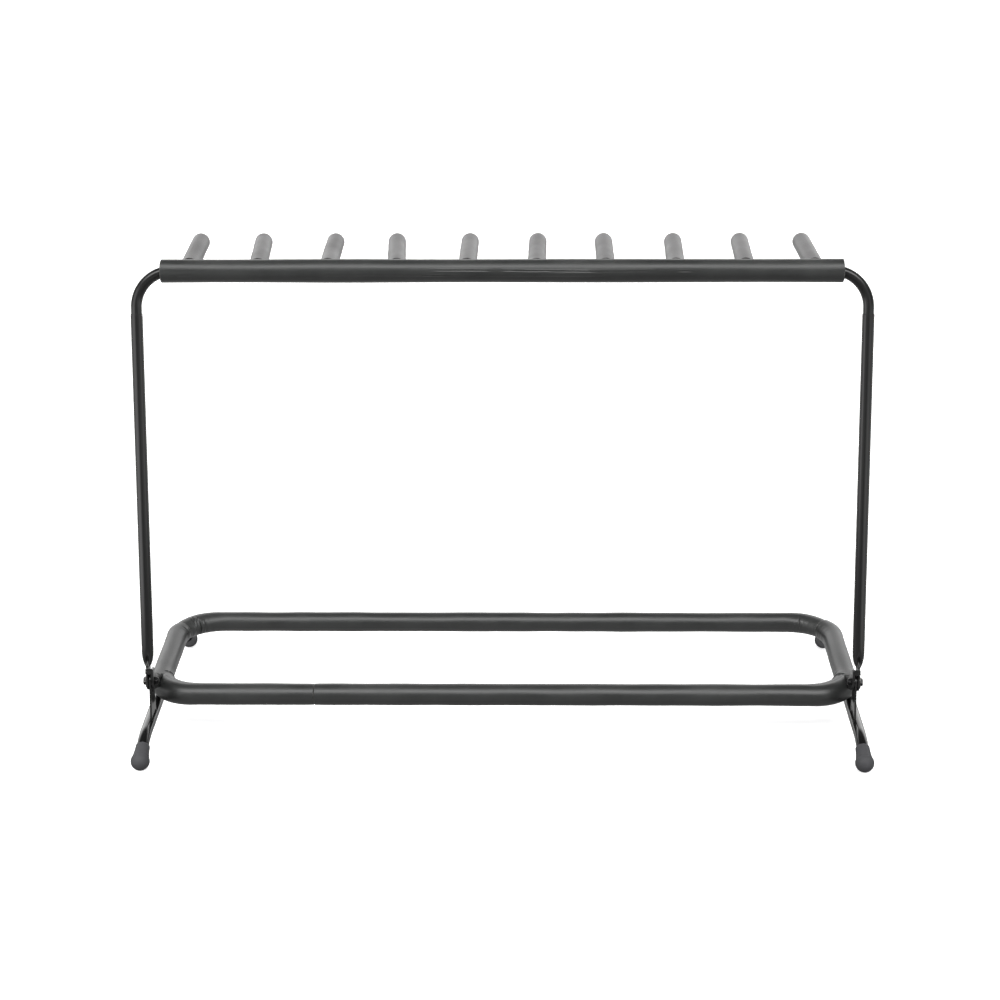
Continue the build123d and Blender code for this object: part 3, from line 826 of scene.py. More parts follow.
def rail_sleeve(props, tube_radius):
    """The rail's foam: a straight tube whose radius has slow waves, lengthwise creases and a
    pinched hole round each peg.  At each end its bore follows the rail as it bends down."""
    radius = props.rail_radius
    length = 2.0 * RAIL_FOAM_HALF
    roots = [peg_root(n) for n in range(len(PEG_TOE))]
    fine = [(r[0] + RAIL_FOAM_HALF - 0.013, r[0] + RAIL_FOAM_HALF + 0.013) for r in roots]
    fine += [(0.0, 0.006), (length - 0.006, length)]
    distance = spaced(length, 0.0035, 0.0009, fine)
    angles = np.linspace(0.0, TAU, props.around, endpoint=False)
    x = distance - RAIL_FOAM_HALF
    centres = np.stack((x, np.full_like(x, RAIL_AXIS[1]), np.full_like(x, RAIL_AXIS[2])), 1)
    side = np.broadcast_to((0.0, -1.0, 0.0), centres.shape)
    up = np.broadcast_to((0.0, 0.0, 1.0), centres.shape)

    creases = [
        ((0.205, -11.0), (0.372, -13.0), 0.0007, 0.00045),
        ((0.340, -14.0), (0.575, -12.0), 0.0008, 0.00030),
        ((0.352, 13.0), (0.430, 11.5), 0.0007, 0.00050),
        ((0.440, 12.0), (0.560, 7.0), 0.0007, 0.00060),
        ((0.500, 4.0), (0.640, 9.0), 0.0009, 0.00025),
        ((0.664, 8.0), (0.692, 7.0), 0.0007, 0.00040),
        ((0.020, -14.0), (0.045, -12.0), 0.0012, 0.00025),
    ]
    outer = radius + 1.5 * props.wave * slow_waves(distance, angles, 41, 0.16)
    outer = outer + props.crease * crease_field(distance, angles, radius, creases)
    surface, _ = rings_round(centres, side, up, outer, angles)
    for number, root in enumerate(roots):
        toward = peg_direction(number)
        from_root = surface - root
        along = from_root @ toward
        off_axis = np.linalg.norm(from_root - along[..., None] * toward, axis=-1)
        pull = 1.0 / (1.0 + np.exp((off_axis - ROD_R - 0.0011) / 0.00055))
        lip = np.exp(-(((off_axis - ROD_R - 0.0042) / 0.0018) ** 2))
        outer = outer + (along > 0) * (0.0005 * lip - 0.0013 * pull)

    rim = 0.0015
    gap = np.minimum(distance, length - distance)
    outer = outer - rounded_rim(gap, rim)[:, None]
    outside, _ = rings_round(centres, side, up, outer, angles)
    bend_start = SIDE_X - RAIL_BEND_R
    back = np.unique(np.linspace(0, len(distance) - 1, 60).astype(int))[::-1]
    past = np.clip(np.abs(x[back]) - bend_start, 0.0, RAIL_BEND_R * 0.9)
    drop = RAIL_BEND_R - np.sqrt(RAIL_BEND_R**2 - past**2)
    bore_centres = centres[back] - drop[:, None] * np.array((0.0, math.sin(LEAN), math.cos(LEAN)))
    bore, _ = rings_round(bore_centres, side[back], up[back], tube_radius + 0.0001, angles)
    tilt = RAIL_BEND_R / (RAIL_BEND_R - drop)  # the bent rail's section is longer in height
    bore = bore_centres[:, None] + (bore - bore_centres[:, None]) * np.stack((tilt * 0 + 1, tilt * 0 + 1, tilt), 1)[:, None]
    lips = [bore_centres[i] + (bore[i] - bore_centres[i]) * 1.06 for i in (0, -1)]
    rings = np.concatenate((outside, lips[0][None], bore, lips[1][None]))
    flat = np.concatenate((
        laid_flat(distance, angles, outer), laid_flat(distance[[-1]], angles, 0.008),
        laid_flat(distance[back], angles, 0.0073), laid_flat(distance[[0]], angles, 0.008),
    ))
    rubbed = np.exp(-gap / 0.0025)[:, None] * np.ones((1, len(angles)))
    ends = np.full((1, len(angles)), 0.6)
    worn = np.concatenate((rubbed, ends, np.zeros((len(back), len(angles))), ends))
    return closed_grid(rings, wrap=True, flat=flat, worn=worn)


def peg_sleeve(number, props):
    """A peg's closed foam sleeve: a tube with a domed tip, a faint ring where the dome starts and
    a dimple at its middle.  Inside it is a blind bore round the rod."""
    radius, dome = props.peg_radius, 0.0110
    axis, root = peg_direction(number), peg_root(number)
    side = np.cross(axis, (0.0, 0.0, 1.0))
    side /= np.linalg.norm(side)
    up = np.cross(side, axis)
    rng = np.random.default_rng(700 + number)

    shoulder = PEG_END - dome
    straight = spaced(shoulder - PEG_START, 0.004, 0.0005, [(0.0, 0.003)]) + PEG_START
    quarter = np.radians(np.linspace(4.0, 88.0, 22))
    along = np.concatenate((straight, shoulder + dome * np.sin(quarter)))
    tip_r = np.concatenate((np.full(len(straight), radius), radius - dome * (1.0 - np.cos(quarter))))
    middle = 0.45 * dome
    tip_r = np.where(along > shoulder, tip_r, radius - rounded_rim(along - PEG_START, 0.0012))
    ring_mark = 0.00022 * np.exp(-(((along - shoulder + 0.0008) / 0.0007) ** 2))
    dimple = 0.0009 * np.exp(-((tip_r / middle) ** 2)) * (along > shoulder + 0.6 * dome)
    angles = np.linspace(0.0, TAU, 72, endpoint=False)
    waves = slow_waves(along, angles, 300 + number, 0.05, 4)
    soft = np.clip((PEG_END - along) / 0.012, 0.0, 1.0)[:, None]
    outer = tip_r[:, None] - ring_mark[:, None] + 0.6 * props.wave * waves * soft
    lean = rng.uniform(0.0, TAU)
    creases = [((along[0] + rng.uniform(0.02, 0.05), math.degrees(lean)),
                (along[0] + rng.uniform(0.07, 0.10), math.degrees(lean) + rng.uniform(-8, 8)), 0.0009, 0.00018)]
    outer = outer + props.crease * crease_field(along, angles, radius, creases)

    inner_along = np.array((PEG_ROD_END, PEG_ROD_END - 0.0004, PEG_ROD_END - 0.02, 0.10, 0.06, PEG_START))
    inner_r = np.array((0.002, ROD_R, ROD_R, ROD_R, ROD_R, ROD_R + 0.0002))
    lip_r = radius - 0.0012
    line = np.concatenate((inner_along, [PEG_START], along - dimple))
    radii = np.vstack((
        np.broadcast_to(inner_r[:, None], (len(inner_r), len(angles))),
        np.full((1, len(angles)), lip_r), outer,
    ))
    centres = root + line[:, None] * axis
    spokes = (np.broadcast_to(v, centres.shape) for v in (side, up))
    rings, _ = rings_round(centres, *spokes, radii, angles)
    worn = np.concatenate((np.zeros(len(inner_along)), [0.9], np.exp(-(along - PEG_START) / 0.002)
                           + 0.45 * (along > shoulder + 0.5 * dome)))
    flat = laid_flat(line + 0.31 * number, angles, radii)
    return closed_grid(rings, flat=flat, worn=worn[:, None])


def round_tube(start, heading, runs, place, lateral, radius, wall, step):
    """A plain tube with a rounded rim at both ends: a circle carried along a flat path.  place
    carries the path's plane into the rack's axes, and lateral is square to that plane."""
    length = run_length(runs)
    distance = spaced(length, step, 0.0002, [(0.0, 0.0006), (length - 0.0006, length)])
    points, headings = travel(start, heading, runs, distance)
    centres = place(points)
    ahead = place(points + np.stack((np.cos(headings), np.sin(headings)), 1) * MM) - centres
    ahead /= np.linalg.norm(ahead, axis=1)[:, None]
    side = np.broadcast_to(np.array(lateral, float), centres.shape)
    up = np.cross(side, ahead)
    angles = np.linspace(0.0, TAU, 96, endpoint=False)
    outer = np.full((len(distance), len(angles)), radius)
    rings, flat, worn = hollow_sweep(distance, centres, side, up, outer, radius - wall, angles, 0.0004)
    return closed_grid(rings, wrap=True, flat=flat, worn=worn * 0.6)


def leg_height(y):
    """Height of the leg's middle under the cradle's side."""
    return LOOP_BACK[1] + (y - LOOP_BACK[0]) * math.tan(loop_slope) - LEG_DROP


def leg_corners():
    """The leg's corners, as (Y, Z), from the back foot to the front one."""
    knees = [(y, leg_height(y)) for y in KNEES_Y]
    return [(-FOOT_Y, LEG_END_Z), *knees, (FOOT_Y, LEG_END_Z)]


def slot_and_circle(count, radius):
    """Points at equal shares of the way round a circle and round the flat tab's section, a slot
    with round ends, both from the same side and the same way round."""
    share = np.arange(count) / count
    circle = radius * np.stack((np.cos(TAU * share), np.sin(TAU * share)), 1)
    straight, end = TAB_HALF_W - TAB_HALF_T, math.pi * TAB_HALF_T / 2.0
    quarter_length = straight + end
    quarter = (share * 4.0) % 1.0 * quarter_length
    which = (share * 4.0).astype(int)
    quarter = np.where(which % 2 == 1, quarter_length - quarter, quarter)
    on_end = np.clip(quarter - straight, 0.0, None) / TAB_HALF_T
    x = np.where(quarter > straight, TAB_HALF_T * np.cos(on_end), TAB_HALF_T)
    y = np.where(quarter > straight, straight + TAB_HALF_T * np.sin(on_end), quarter)
    x = np.where((which == 1) | (which == 2), -x, x)
    y = np.where(which >= 2, -y, y)
    return circle, np.stack((x, y), 1)


def upright_shape(side, props):
    """An upright: a round tube pressed flat at its foot.  Each section is a mix of a circle and
    the flat slot, with a dent down the middle of the back and front where the wall folds in, and
    the end of the tab is round."""
    count = 96
    radius = props.tube_radius
    circle, slot = slot_and_circle(count, radius)
    tab_end = -TAB_HALF_W * np.cos(np.linspace(0.02, math.pi / 2.0, 16))
    pressed = np.linspace(0.0, TAB_ROUND + 0.004, 60)[1:]
    top = UPRIGHT_TOP - np.array((0.02, 0.008, 0.003, 0.0012, 0.0006, 0.0003, 0.0001, 0.0))
    tube = np.arange(TAB_ROUND + 0.010, UPRIGHT_TOP - 0.022, 0.012)
    height = np.concatenate((tab_end, pressed, tube, top))
    mix = np.clip((TAB_ROUND - height) / (TAB_ROUND - TAB_FLAT), 0.0, 1.0)
    mix = 1.0 - np.sqrt(1.0 - mix**2)  # full width until low down, then in quickly, like a bowl
    section = circle[None] * (1.0 - mix)[:, None, None] + slot[None] * mix[:, None, None]
    half_width = np.sqrt(np.clip(1.0 - (np.minimum(height, 0.0) / TAB_HALF_W) ** 2, 0.0, 1.0))
    section[..., 1] *= half_width[:, None]
    fold = np.exp(-(((height - 0.0295) / 0.0075) ** 2))[:, None] * np.exp(-((section[..., 0] / 0.0023) ** 2))
    section[..., 1] -= 0.0056 * fold * np.sign(section[..., 1])
    pinch = rounded_rim(UPRIGHT_TOP - height, 0.0004)
    section *= (1.0 - pinch / radius)[:, None, None]

    inner_r = radius - 0.0008 + SPIGOT_FIT
    inner_height = UPRIGHT_TOP - np.array((0.0, 0.0004, 0.005, 0.030, 0.0301))
    inner_share = np.array((1.0, 1.0, 1.0, 1.0, 0.3))[:, None, None] * inner_r / radius
    section = np.concatenate((section, circle[None] * inner_share))
    height = np.concatenate((height, inner_height))
    rings = frame_point(side * SIDE_X + section[..., 0], height[:, None], section[..., 1])
    flat = np.stack(np.broadcast_arrays(height[:, None] + 2.0 * side, section[..., 0], section[..., 1]), -1)
    edge = np.clip(np.abs(section[..., 1]) / TAB_HALF_W * 1.1 - 0.2, 0.0, 1.0) * (height < TAB_FLAT)[:, None]
    rim = np.exp(-np.abs(height - UPRIGHT_TOP) / 0.0008)[:, None]
    return closed_grid(rings, flat=flat, worn=np.clip(edge + rim, 0.0, 1.0))


def foot_shape(side, end):
    """A rubber foot: a cone turned round the leg's end that meets a ball at a crisp edge, with a
    rolled mouth, moulding lines on both sides and a small flat where it stands."""
    corners = leg_corners()
    tip, knee = (corners[0], corners[1]) if end < 0 else (corners[3], corners[2])
    along = np.array((0.0, knee[0] - tip[0], knee[1] - tip[1]))
    along /= np.linalg.norm(along)
    across = np.array((1.0, 0.0, 0.0))
    up = np.cross(across, along)
    centre = np.array((side * SIDE_X, tip[0], FOOT_Z))
    ball = np.linspace(math.radians(-88.0), SHOULDER, 40)
    ball_r, ball_z = BALL_R * np.cos(ball), BALL_R * np.sin(ball)
    shoulder_r, shoulder_z = BALL_R * math.cos(SHOULDER), BALL_R * math.sin(SHOULDER)
    crease_r = np.array((shoulder_r - 0.0007, shoulder_r - 0.0011, shoulder_r - 0.0009))
    crease_z = shoulder_z + np.array((0.0001, 0.0006, 0.0013))
    share = np.linspace(0.08, 1.0, 14)
    cone_r = (shoulder_r - 0.0005) * (1 - share) + NECK_R * share - 0.0004 * np.sin(math.pi * share)
    cone_z = shoulder_z + (NECK_LEN - 0.0012 - shoulder_z) * share
    turn = np.radians(np.linspace(15.0, 165.0, 8))
    lip = 0.00065
    mouth_r = NECK_R - lip + lip * np.cos(turn)
    mouth_z = NECK_LEN - 0.0008 + 0.0008 * np.sin(turn)
    bore_r = np.array((0.00805, 0.00802, 0.00802, 0.004))
    bore_z = np.array((NECK_LEN - 0.001, 0.018, 0.004, 0.0035))
    radius = np.concatenate((ball_r, crease_r, cone_r, mouth_r, bore_r))
    height = np.concatenate((ball_z, crease_z, cone_z, mouth_z, bore_z))
    angles = np.linspace(0.0, TAU, 96, endpoint=False)
    outside = np.arange(len(radius)) < len(radius) - len(bore_r)
    parting = 0.00016 * np.exp(-((np.cos(angles) / 0.035) ** 2)) * outside[:, None]
    centres = centre + height[:, None] * along
    wide = np.broadcast_to(across, centres.shape)
    high = np.broadcast_to(up, centres.shape)
    rings, _ = rings_round(centres, wide, high, radius[:, None] + parting, angles)
    standing = np.clip(-rings[..., 2] / 0.0003, 0.0, 1.0)
    rings[..., 2] = np.maximum(rings[..., 2], 0.0)
    rim = np.zeros(len(radius))
    rim[len(ball_r) - 2 : len(ball_r) + 1] = 0.7
    rim[-len(bore_r) - 6 : -len(bore_r)] = 0.5
    low = np.exp(-rings[..., 2] / 0.002) * 0.7
    flat = laid_flat(height + 0.4 * side + 0.13 * end, angles, radius[:, None])
    return closed_grid(rings, flat=flat, worn=np.clip(rim[:, None] + low + standing, 0.0, 1.0))


def turned(profile, hexagon=0.0, seed=0.0):
    """A shape turned round a pivot bolt, on the right-hand side.  Each row of the profile is a
    distance from the rack's middle, a radius, how far the section is hexagonal, from 0 to 1, and
    how much it is rubbed."""
    x, radius, hexed, worn = np.array(profile, float).T
    angles = np.linspace(0.0, TAU, 96, endpoint=False) + hexagon
    sixth = math.pi / 3.0
    apothem = FLATS / 2.0
    flat_side = apothem / np.cos((angles - hexagon + sixth / 2.0) % sixth - sixth / 2.0)
    limited = np.minimum(radius[:, None], flat_side[None, :])
    radii = np.where(hexed[:, None] > 0.5, limited, radius[:, None])
    centres = np.stack((x, np.full_like(x, PIVOT[1]), np.full_like(x, PIVOT[2])), 1)
    wide, high = (np.broadcast_to(v, centres.shape) for v in ((0.0, 1.0, 0.0), (0.0, 0.0, 1.0)))
    rings, _ = rings_round(centres, wide, high, radii, angles)
    corner = (hexed[:, None] > 0.5) * np.clip((radii - apothem * 1.08) / (apothem * 0.06), 0.0, 1.0)
    rubbed = np.clip(worn[:, None] + corner * 0.8, 0.0, 1.0)
    return rings, laid_flat(x + seed, angles, radii), rubbed


def bolt_profile():
    """From the middle of the head's outer face, over its bevelled corners, down to the shank's end."""
    bevel = [(HEAD[1] - d, 0.0046 + d * 1.73, 1, 0.6) for d in np.linspace(0.0, 0.0008, 7)]
    return [
        (HEAD[1] - 0.0003, 0.0006, 0, 0), (HEAD[1] - 0.0003, 0.0030, 0, 0), (HEAD[1] - 0.0001, 0.0034, 0, 0.3),
        (HEAD[1], 0.0040, 0, 0.4), *bevel, (HEAD[0] + 0.0006, 0.0062, 1, 0.3), (HEAD[0] + 0.00045, 0.0062, 1, 0.2),
        (HEAD[0] + 0.0004, 0.0053, 0, 0.3), (HEAD[0], 0.0053, 0, 0.3), (HEAD[0], BOLT_R, 0, 0),
        (NUT[0] + 0.0004, BOLT_R, 0, 0), (BOLT_END + 0.0004, BOLT_R, 0, 0.4), (BOLT_END, BOLT_R - 0.0005, 0, 0.5),
    ]


def nut_profile():
    """A lock nut as a closed outline: bevelled hexagon against the plate, round collar inwards."""
    collar = NUT[0] + 0.0013
    bevel = [(NUT[1] - d, 0.0047 + d * 1.73, 1, 0.4) for d in np.linspace(0.0, 0.0007, 5)]
    return [
        (NUT[1], BOLT_R + 0.00005, 0, 0), *bevel, (collar + 0.0004, 0.0062, 1, 0.3), (collar + 0.0001, 0.0052, 1, 0.4),
        (collar, 0.0046, 0, 0), (NUT[0] + 0.0006, 0.0045, 0, 0.1), (NUT[0] + 0.0001, 0.0041, 0, 0.3),
        (NUT[0], 0.0037, 0, 0.2), (NUT[0] + 0.0003, BOLT_R + 0.00005, 0, 0),
    ]


def ring_profile(inner_x, outer_x, radius, edge):
    """A washer as a closed outline with rounded outer edges."""
    return [
        (inner_x, BOLT_R + 0.00005, 0, 0), (inner_x, radius - 2.5 * edge, 0, 0), (inner_x, radius - edge, 0, 0.5),
        (inner_x + 0.3 * edge, radius - 0.3 * edge, 0, 0.8), (inner_x + edge, radius, 0, 0.8),
        (outer_x - edge, radius, 0, 0.8), (outer_x - 0.3 * edge, radius - 0.3 * edge, 0, 0.8),
        (outer_x, radius - edge, 0, 0.5), (outer_x, radius - 2.5 * edge, 0, 0), (outer_x, BOLT_R + 0.00005, 0, 0),
    ]


def both_sides(profile, wrap, hexagon=0.0):
    """A turned shape on the right-hand bolt and its mirror image on the left-hand one."""
    rings, flat, worn = turned(profile, hexagon)
    shape = closed_grid(rings, wrap=wrap, flat=flat, worn=worn)
    return [shape, mirrored(shape)]


def weld_bead(side, face, lean):
    """A weld along the foot of an ear: a small round bead on the leg's top whose size ripples
    from one drop of metal to the next and tapers at both ends."""
    step = 0.0017
    along = np.arange(-EAR_HALF_LEN, EAR_HALF_LEN + 1e-9, step / 7.0)
    y = PIVOT[1] + along
    off = face - SIDE_X
    top = np.sqrt(0.008**2 - off**2)
    centres = np.stack((np.full_like(y, side * face), y, [leg_height(v) + top for v in y]), 1)
    ripple = 0.82 + 0.18 * np.abs(np.cos(math.pi * along / step))
    taper = np.clip((EAR_HALF_LEN - np.abs(along)) / 0.003, 0.0, 1.0) ** 0.5
    radius = 0.0013 * ripple * (0.25 + 0.75 * taper)
    angles = np.linspace(0.0, TAU, 20, endpoint=False)
    wide = np.broadcast_to((side, 0.0, 0.0), centres.shape)
    high = np.broadcast_to((0.0, -math.sin(loop_slope), math.cos(loop_slope)), centres.shape)
    centres = centres + wide * lean * 0.0004
    rings, _ = rings_round(centres, wide, high, radius[:, None], angles)
    return closed_grid(rings, flat=laid_flat(along + face, angles, radius[:, None]), worn=0.1)


def plate_piece(name, node, body, material, edge):
    """A plate with its sharp edges rounded: a merged copy of the node's mesh with a bevel."""
    source = frame["nodes"][node].data
    mesh = source.copy()
    mesh.name = name
    mesh.materials.clear()
    mesh.materials.append(material)
    piece = bpy.data.objects.new(name, mesh)
    bpy.context.scene.collection.objects.link(piece)
    weld = piece.modifiers.new("Merge", "WELD")
    weld.merge_threshold = 0.00001
    bevel = piece.modifiers.new("Edges", "BEVEL")
    bevel.width, bevel.segments, bevel.limit_method = edge, 2, "ANGLE"
    bevel.angle_limit = math.radians(50.0)
    bevel.harden_normals = True
    depsgraph = bpy.context.evaluated_depsgraph_get()
    finished = bpy.data.meshes.new_from_object(piece.evaluated_get(depsgraph))
    piece.modifiers.clear()
    piece.data = finished
    finished.name = name
    finished.polygons.foreach_set("use_smooth", np.ones(len(finished.polygons), bool))
    finished.set_sharp_from_angle(angle=math.radians(32.0))
    places = np.zeros(len(finished.vertices) * 3, np.float32)
    finished.vertices.foreach_get("co", places)
    finished.attributes.new("laid_flat", "FLOAT_VECTOR", "POINT").data.foreach_set("vector", places)
    finished.attributes.new("worn", "FLOAT", "POINT").data.foreach_set(
        "value", np.full(len(finished.vertices), 0.35, np.float32)
    )
    return hand_over(piece, body, (node,))


# ------------------------------------------------------------------ operators


def scene_props():
    """The property groups on the scene."""
    scene = bpy.context.scene
    return scene.rack_foam, scene.rack_metal, scene.rack_stage


class RACK_OT_materials(Operator):
    """Makes the shared node groups and the rack's materials"""

    bl_idname = "rack.materials"
    bl_label = "Materials"

    def execute(self, context):
        foam, metal, _ = scene_props()
        make_relief_group()
        make_dust_group()
        make_wear_group()
        make_streak_group()
        make_foam("cradle_foam", foam.colour, 0.5, 0.04, 0.10, 0.10)
        make_foam("rail_foam", scaled_colour(foam.colour, 1.10), 0.45, 0.03, 0.20, 0.12)
        make_foam("peg_foam", foam.peg_colour, 0.28, 0.05, 0.08, 0.06)
        make_paint("powder_coat", metal.paint, metal.bare, 0.24)
        make_paint("leg_coat", scaled_colour(metal.paint, 0.7), metal.bare, 0.09)
        make_paint("frame_coat", metal.paint, metal.bare, 0.30, "object", 0.3)
        make_rubber("foot_rubber", metal.rubber)
        make_steel("blackened_steel", metal.bolt)
        make_nylon("nylon")
        return {"FINISHED"}


class RACK_OT_cradle_foam(Operator):
    """Builds the three foam sleeves of the cradle"""

    bl_idname = "rack.cradle_foam"
    bl_label = "Cradle foam"

    def execute(self, context):
        props = context.scene.rack_foam
        straight = LOOP_HALF_W - LOOP_CORNER_R
        side_run = 2.0 * (loop_half_d - LOOP_CORNER_R)
        quarter = math.pi / 2.0
        corner = (LOOP_CORNER_R * quarter, quarter)

        def arc(turn):
            return LOOP_CORNER_R * abs(turn), turn

        left_end = (
            -straight - LOOP_CORNER_R * math.cos(LEFT_SEAM),
            loop_half_d - LOOP_CORNER_R + LOOP_CORNER_R * math.sin(LEFT_SEAM),
        )
        sleeves = (
            ("left_sleeve", (BACK_SEAM_X, -loop_half_d), math.pi,
             [(straight + BACK_SEAM_X, 0.0), arc(-quarter), (side_run, 0.0), arc(-LEFT_SEAM)], 1.0,
             [((0.2330, 104.0), (0.2290, 178.0), 0.0011, 0.0020),
              ((0.2200, 128.0), (0.2150, 200.0), 0.0016, 0.0007),
              ((0.2060, 150.0), (0.2050, 215.0), 0.0015, 0.0006),
              ((0.3860, 120.0), (0.3840, 190.0), 0.0012, 0.0006)], 1.035, 11),
            ("back_right_sleeve", (BACK_SEAM_X, -loop_half_d), 0.0,
             [(straight - BACK_SEAM_X, 0.0), corner, (side_run, 0.0), arc(RIGHT_SEAM)], -1.0,
             [((0.7370, 92.0), (0.7410, 186.0), 0.0014, 0.0026),
              ((0.7210, 120.0), (0.7240, 200.0), 0.0020, 0.0006),
              ((0.7560, 140.0), (0.7580, 200.0), 0.0014, 0.0006)], 1.035, 12),
            ("front_sleeve", left_end, quarter - LEFT_SEAM,
             [arc(LEFT_SEAM - quarter), (2.0 * straight, 0.0), arc(RIGHT_SEAM - quarter)], 1.0,
             [((0.0240, 84.0), (0.0130, 182.0), 0.0011, 0.0014),
              ((0.0290, 104.0), (0.0270, 228.0), 0.0013, 0.0018),
              ((0.0400, 140.0), (0.0390, 216.0), 0.0016, 0.0007),
              ((0.9125, 104.0), (0.9155, 196.0), 0.0012, 0.0008)], 0.98, 13),
        )
        for node, start, heading, runs, outward, creases, fullness, seed in sleeves:
            shape = cradle_sleeve(start, heading, runs, outward, creases, fullness, props, seed)
            piece = add_piece(f"{node}_foam", shape, bpy.data.materials["cradle_foam"], "cradle", (node,))
        return {"FINISHED"}


class RACK_OT_rail_foam(Operator):
    """Builds the foam sleeve of the top rail"""

    bl_idname = "rack.rail_foam"
    bl_label = "Rail foam"

    def execute(self, context):
        foam, metal, _ = scene_props()
        shape = rail_sleeve(foam, metal.rail_radius)
        piece = add_piece("rail_foam_sleeve", shape, bpy.data.materials["rail_foam"], "upper_frame", ("rail_foam",))
        return {"FINISHED"}


class RACK_OT_peg_foam(Operator):
    """Builds the ten closed foam sleeves of the pegs"""

    bl_idname = "rack.peg_foam"
    bl_label = "Peg foam"

    def execute(self, context):
        props = context.scene.rack_foam
        for number in range(len(PEG_TOE)):
            shape = peg_sleeve(number, props)
            name, node = f"peg_sleeve_{number + 1:02d}", f"peg_foam_{number + 1}"
            piece = add_piece(name, shape, bpy.data.materials["peg_foam"], "upper_frame", (node,))
        return {"FINISHED"}


class RACK_OT_upper_tubes(Operator):
    """Builds the uprights with their pressed tabs, and the bent rail between them"""

    bl_idname = "rack.upper_tubes"
    bl_label = "Uprights and rail"

    def execute(self, context):
        props = context.scene.rack_metal
        paint = bpy.data.materials["powder_coat"]
        for name, side in SIDES:
            node = f"{name}_upright"
            add_piece(f"{node}_tube", upright_shape(side, props), paint, "upper_frame", (node,))
        foot = UPRIGHT_TOP - SPIGOT
        corners = [(-SIDE_X, foot), (-SIDE_X, RAIL_UP), (SIDE_X, RAIL_UP), (SIDE_X, foot)]
        rail = round_tube(
            *rounded_runs(corners, RAIL_BEND_R), lambda p: frame_point(p[:, 0], p[:, 1]),
            (0.0, -math.cos(LEAN), math.sin(LEAN)), props.rail_radius, 0.001, 0.002,
        )
        add_piece("top_rail_tube", rail, paint, "upper_frame", ("top_rail",))
        return {"FINISHED"}


class RACK_OT_legs(Operator):
    """Builds the arched legs, their ears and the welds between them"""

    bl_idname = "rack.legs"
    bl_label = "Legs"

    def execute(self, context):
        props = context.scene.rack_metal
        paint = bpy.data.materials["leg_coat"]
        for name, side in SIDES:
            body = f"{name}_leg"
            bends = rounded_runs(leg_corners(), LEG_BEND_R)
            tube = round_tube(
                *bends, lambda p: np.stack((np.full(len(p), side * SIDE_X), p[:, 0], p[:, 1]), 1),
                (1.0, 0.0, 0.0), props.tube_radius, 0.0012, 0.003,
            )
            add_piece(f"{name}_leg_arch", tube, paint, body, (f"{name}_leg_tube",))
            plate_piece(f"{name}_ear_plate", f"{name}_leg_ear", body, bpy.data.materials["powder_coat"], props.plate_edge)
            beads = together([weld_bead(side, EAR_FACES[0], -1.0), weld_bead(side, EAR_FACES[1], 1.0)])
            add_piece(f"{name}_ear_welds", beads, paint, body)
        return {"FINISHED"}


class RACK_OT_feet(Operator):
    """Builds the four rubber feet"""

    bl_idname = "rack.feet"
    bl_label = "Feet"

    def execute(self, context):
        for name, side in SIDES:
            for end_name, end in (("back", -1.0), ("front", 1.0)):
                node = f"{name}_{end_name}_foot"
                add_piece(
                    f"{node}_cap", foot_shape(side, end), bpy.data.materials["foot_rubber"],
                    f"{name}_leg", (node,), math.radians(28.0),
                )
        return {"FINISHED"}


class RACK_OT_lugs(Operator):
    """Builds the lug plates with rounded edges"""

    bl_idname = "rack.lugs"
    bl_label = "Lugs"

    def execute(self, context):
        props = context.scene.rack_metal
        for name, _ in SIDES:
            plate_piece(f"{name}_lug_plate", f"{name}_lug", "cradle", bpy.data.materials["powder_coat"], props.plate_edge)
        return {"FINISHED"}


class RACK_OT_hardware(Operator):
    """Builds the pivot bolts, washers, spacers and lock nuts"""

    bl_idname = "rack.hardware"
    bl_label = "Pivot hardware"

    def execute(self, context):
        steel, nylon = bpy.data.materials["blackened_steel"], bpy.data.materials["nylon"]
        bolts = together(both_sides(bolt_profile(), False, 0.35))
        add_piece("pivot_bolt_pair", bolts, steel, "cradle", ("pivot_bolts",), math.radians(28.0))
        washers = together(both_sides(ring_profile(*WASHER, WASHER_R, 0.0003), True))
        add_piece("steel_washer_pair", washers, steel, "cradle", ("pivot_washers",))
        rings = [s for faces in SPACERS for s in both_sides(ring_profile(*faces, SPACER_R, 0.00015), True)]
        add_piece("nylon_spacer_set", together(rings), nylon, "cradle", ("pivot_spacers",))
        nuts = together(both_sides(nut_profile(), True, 0.15))
        add_piece("lock_nut_pair", nuts, steel, "cradle", ("lock_nuts",), math.radians(28.0))
        return {"FINISHED"}


class RACK_OT_frame_finish(Operator):
    """Gives the frame's own shown nodes their paint"""

    bl_idname = "rack.frame_finish"
    bl_label = "Frame finish"

    def execute(self, context):
        for node in frame["nodes"].values():
            node.data.materials.clear()
            node.data.materials.append(bpy.data.materials["frame_coat"])
        return {"FINISHED"}


class RACK_OT_stage(Operator):
    """Lays the floor and sets the lights, the white room and the camera"""

    bl_idname = "rack.stage"
    bl_label = "Stage"

    def execute(self, context):
        props = context.scene.rack_stage
        make_floor(props)
        make_room(props)
        add_light("left_panel", (-0.95, -0.62, 0.45), (0.0, -0.62, 0.45), (0.9, 0.75), props.left_power)
        add_light("right_panel", (0.95, -0.85, 0.45), (0.0, -0.85, 0.45), (0.9, 1.7), props.right_power)
        add_camera(props)
        context.scene.view_settings.view_transform = "Standard"
        return {"FINISHED"}


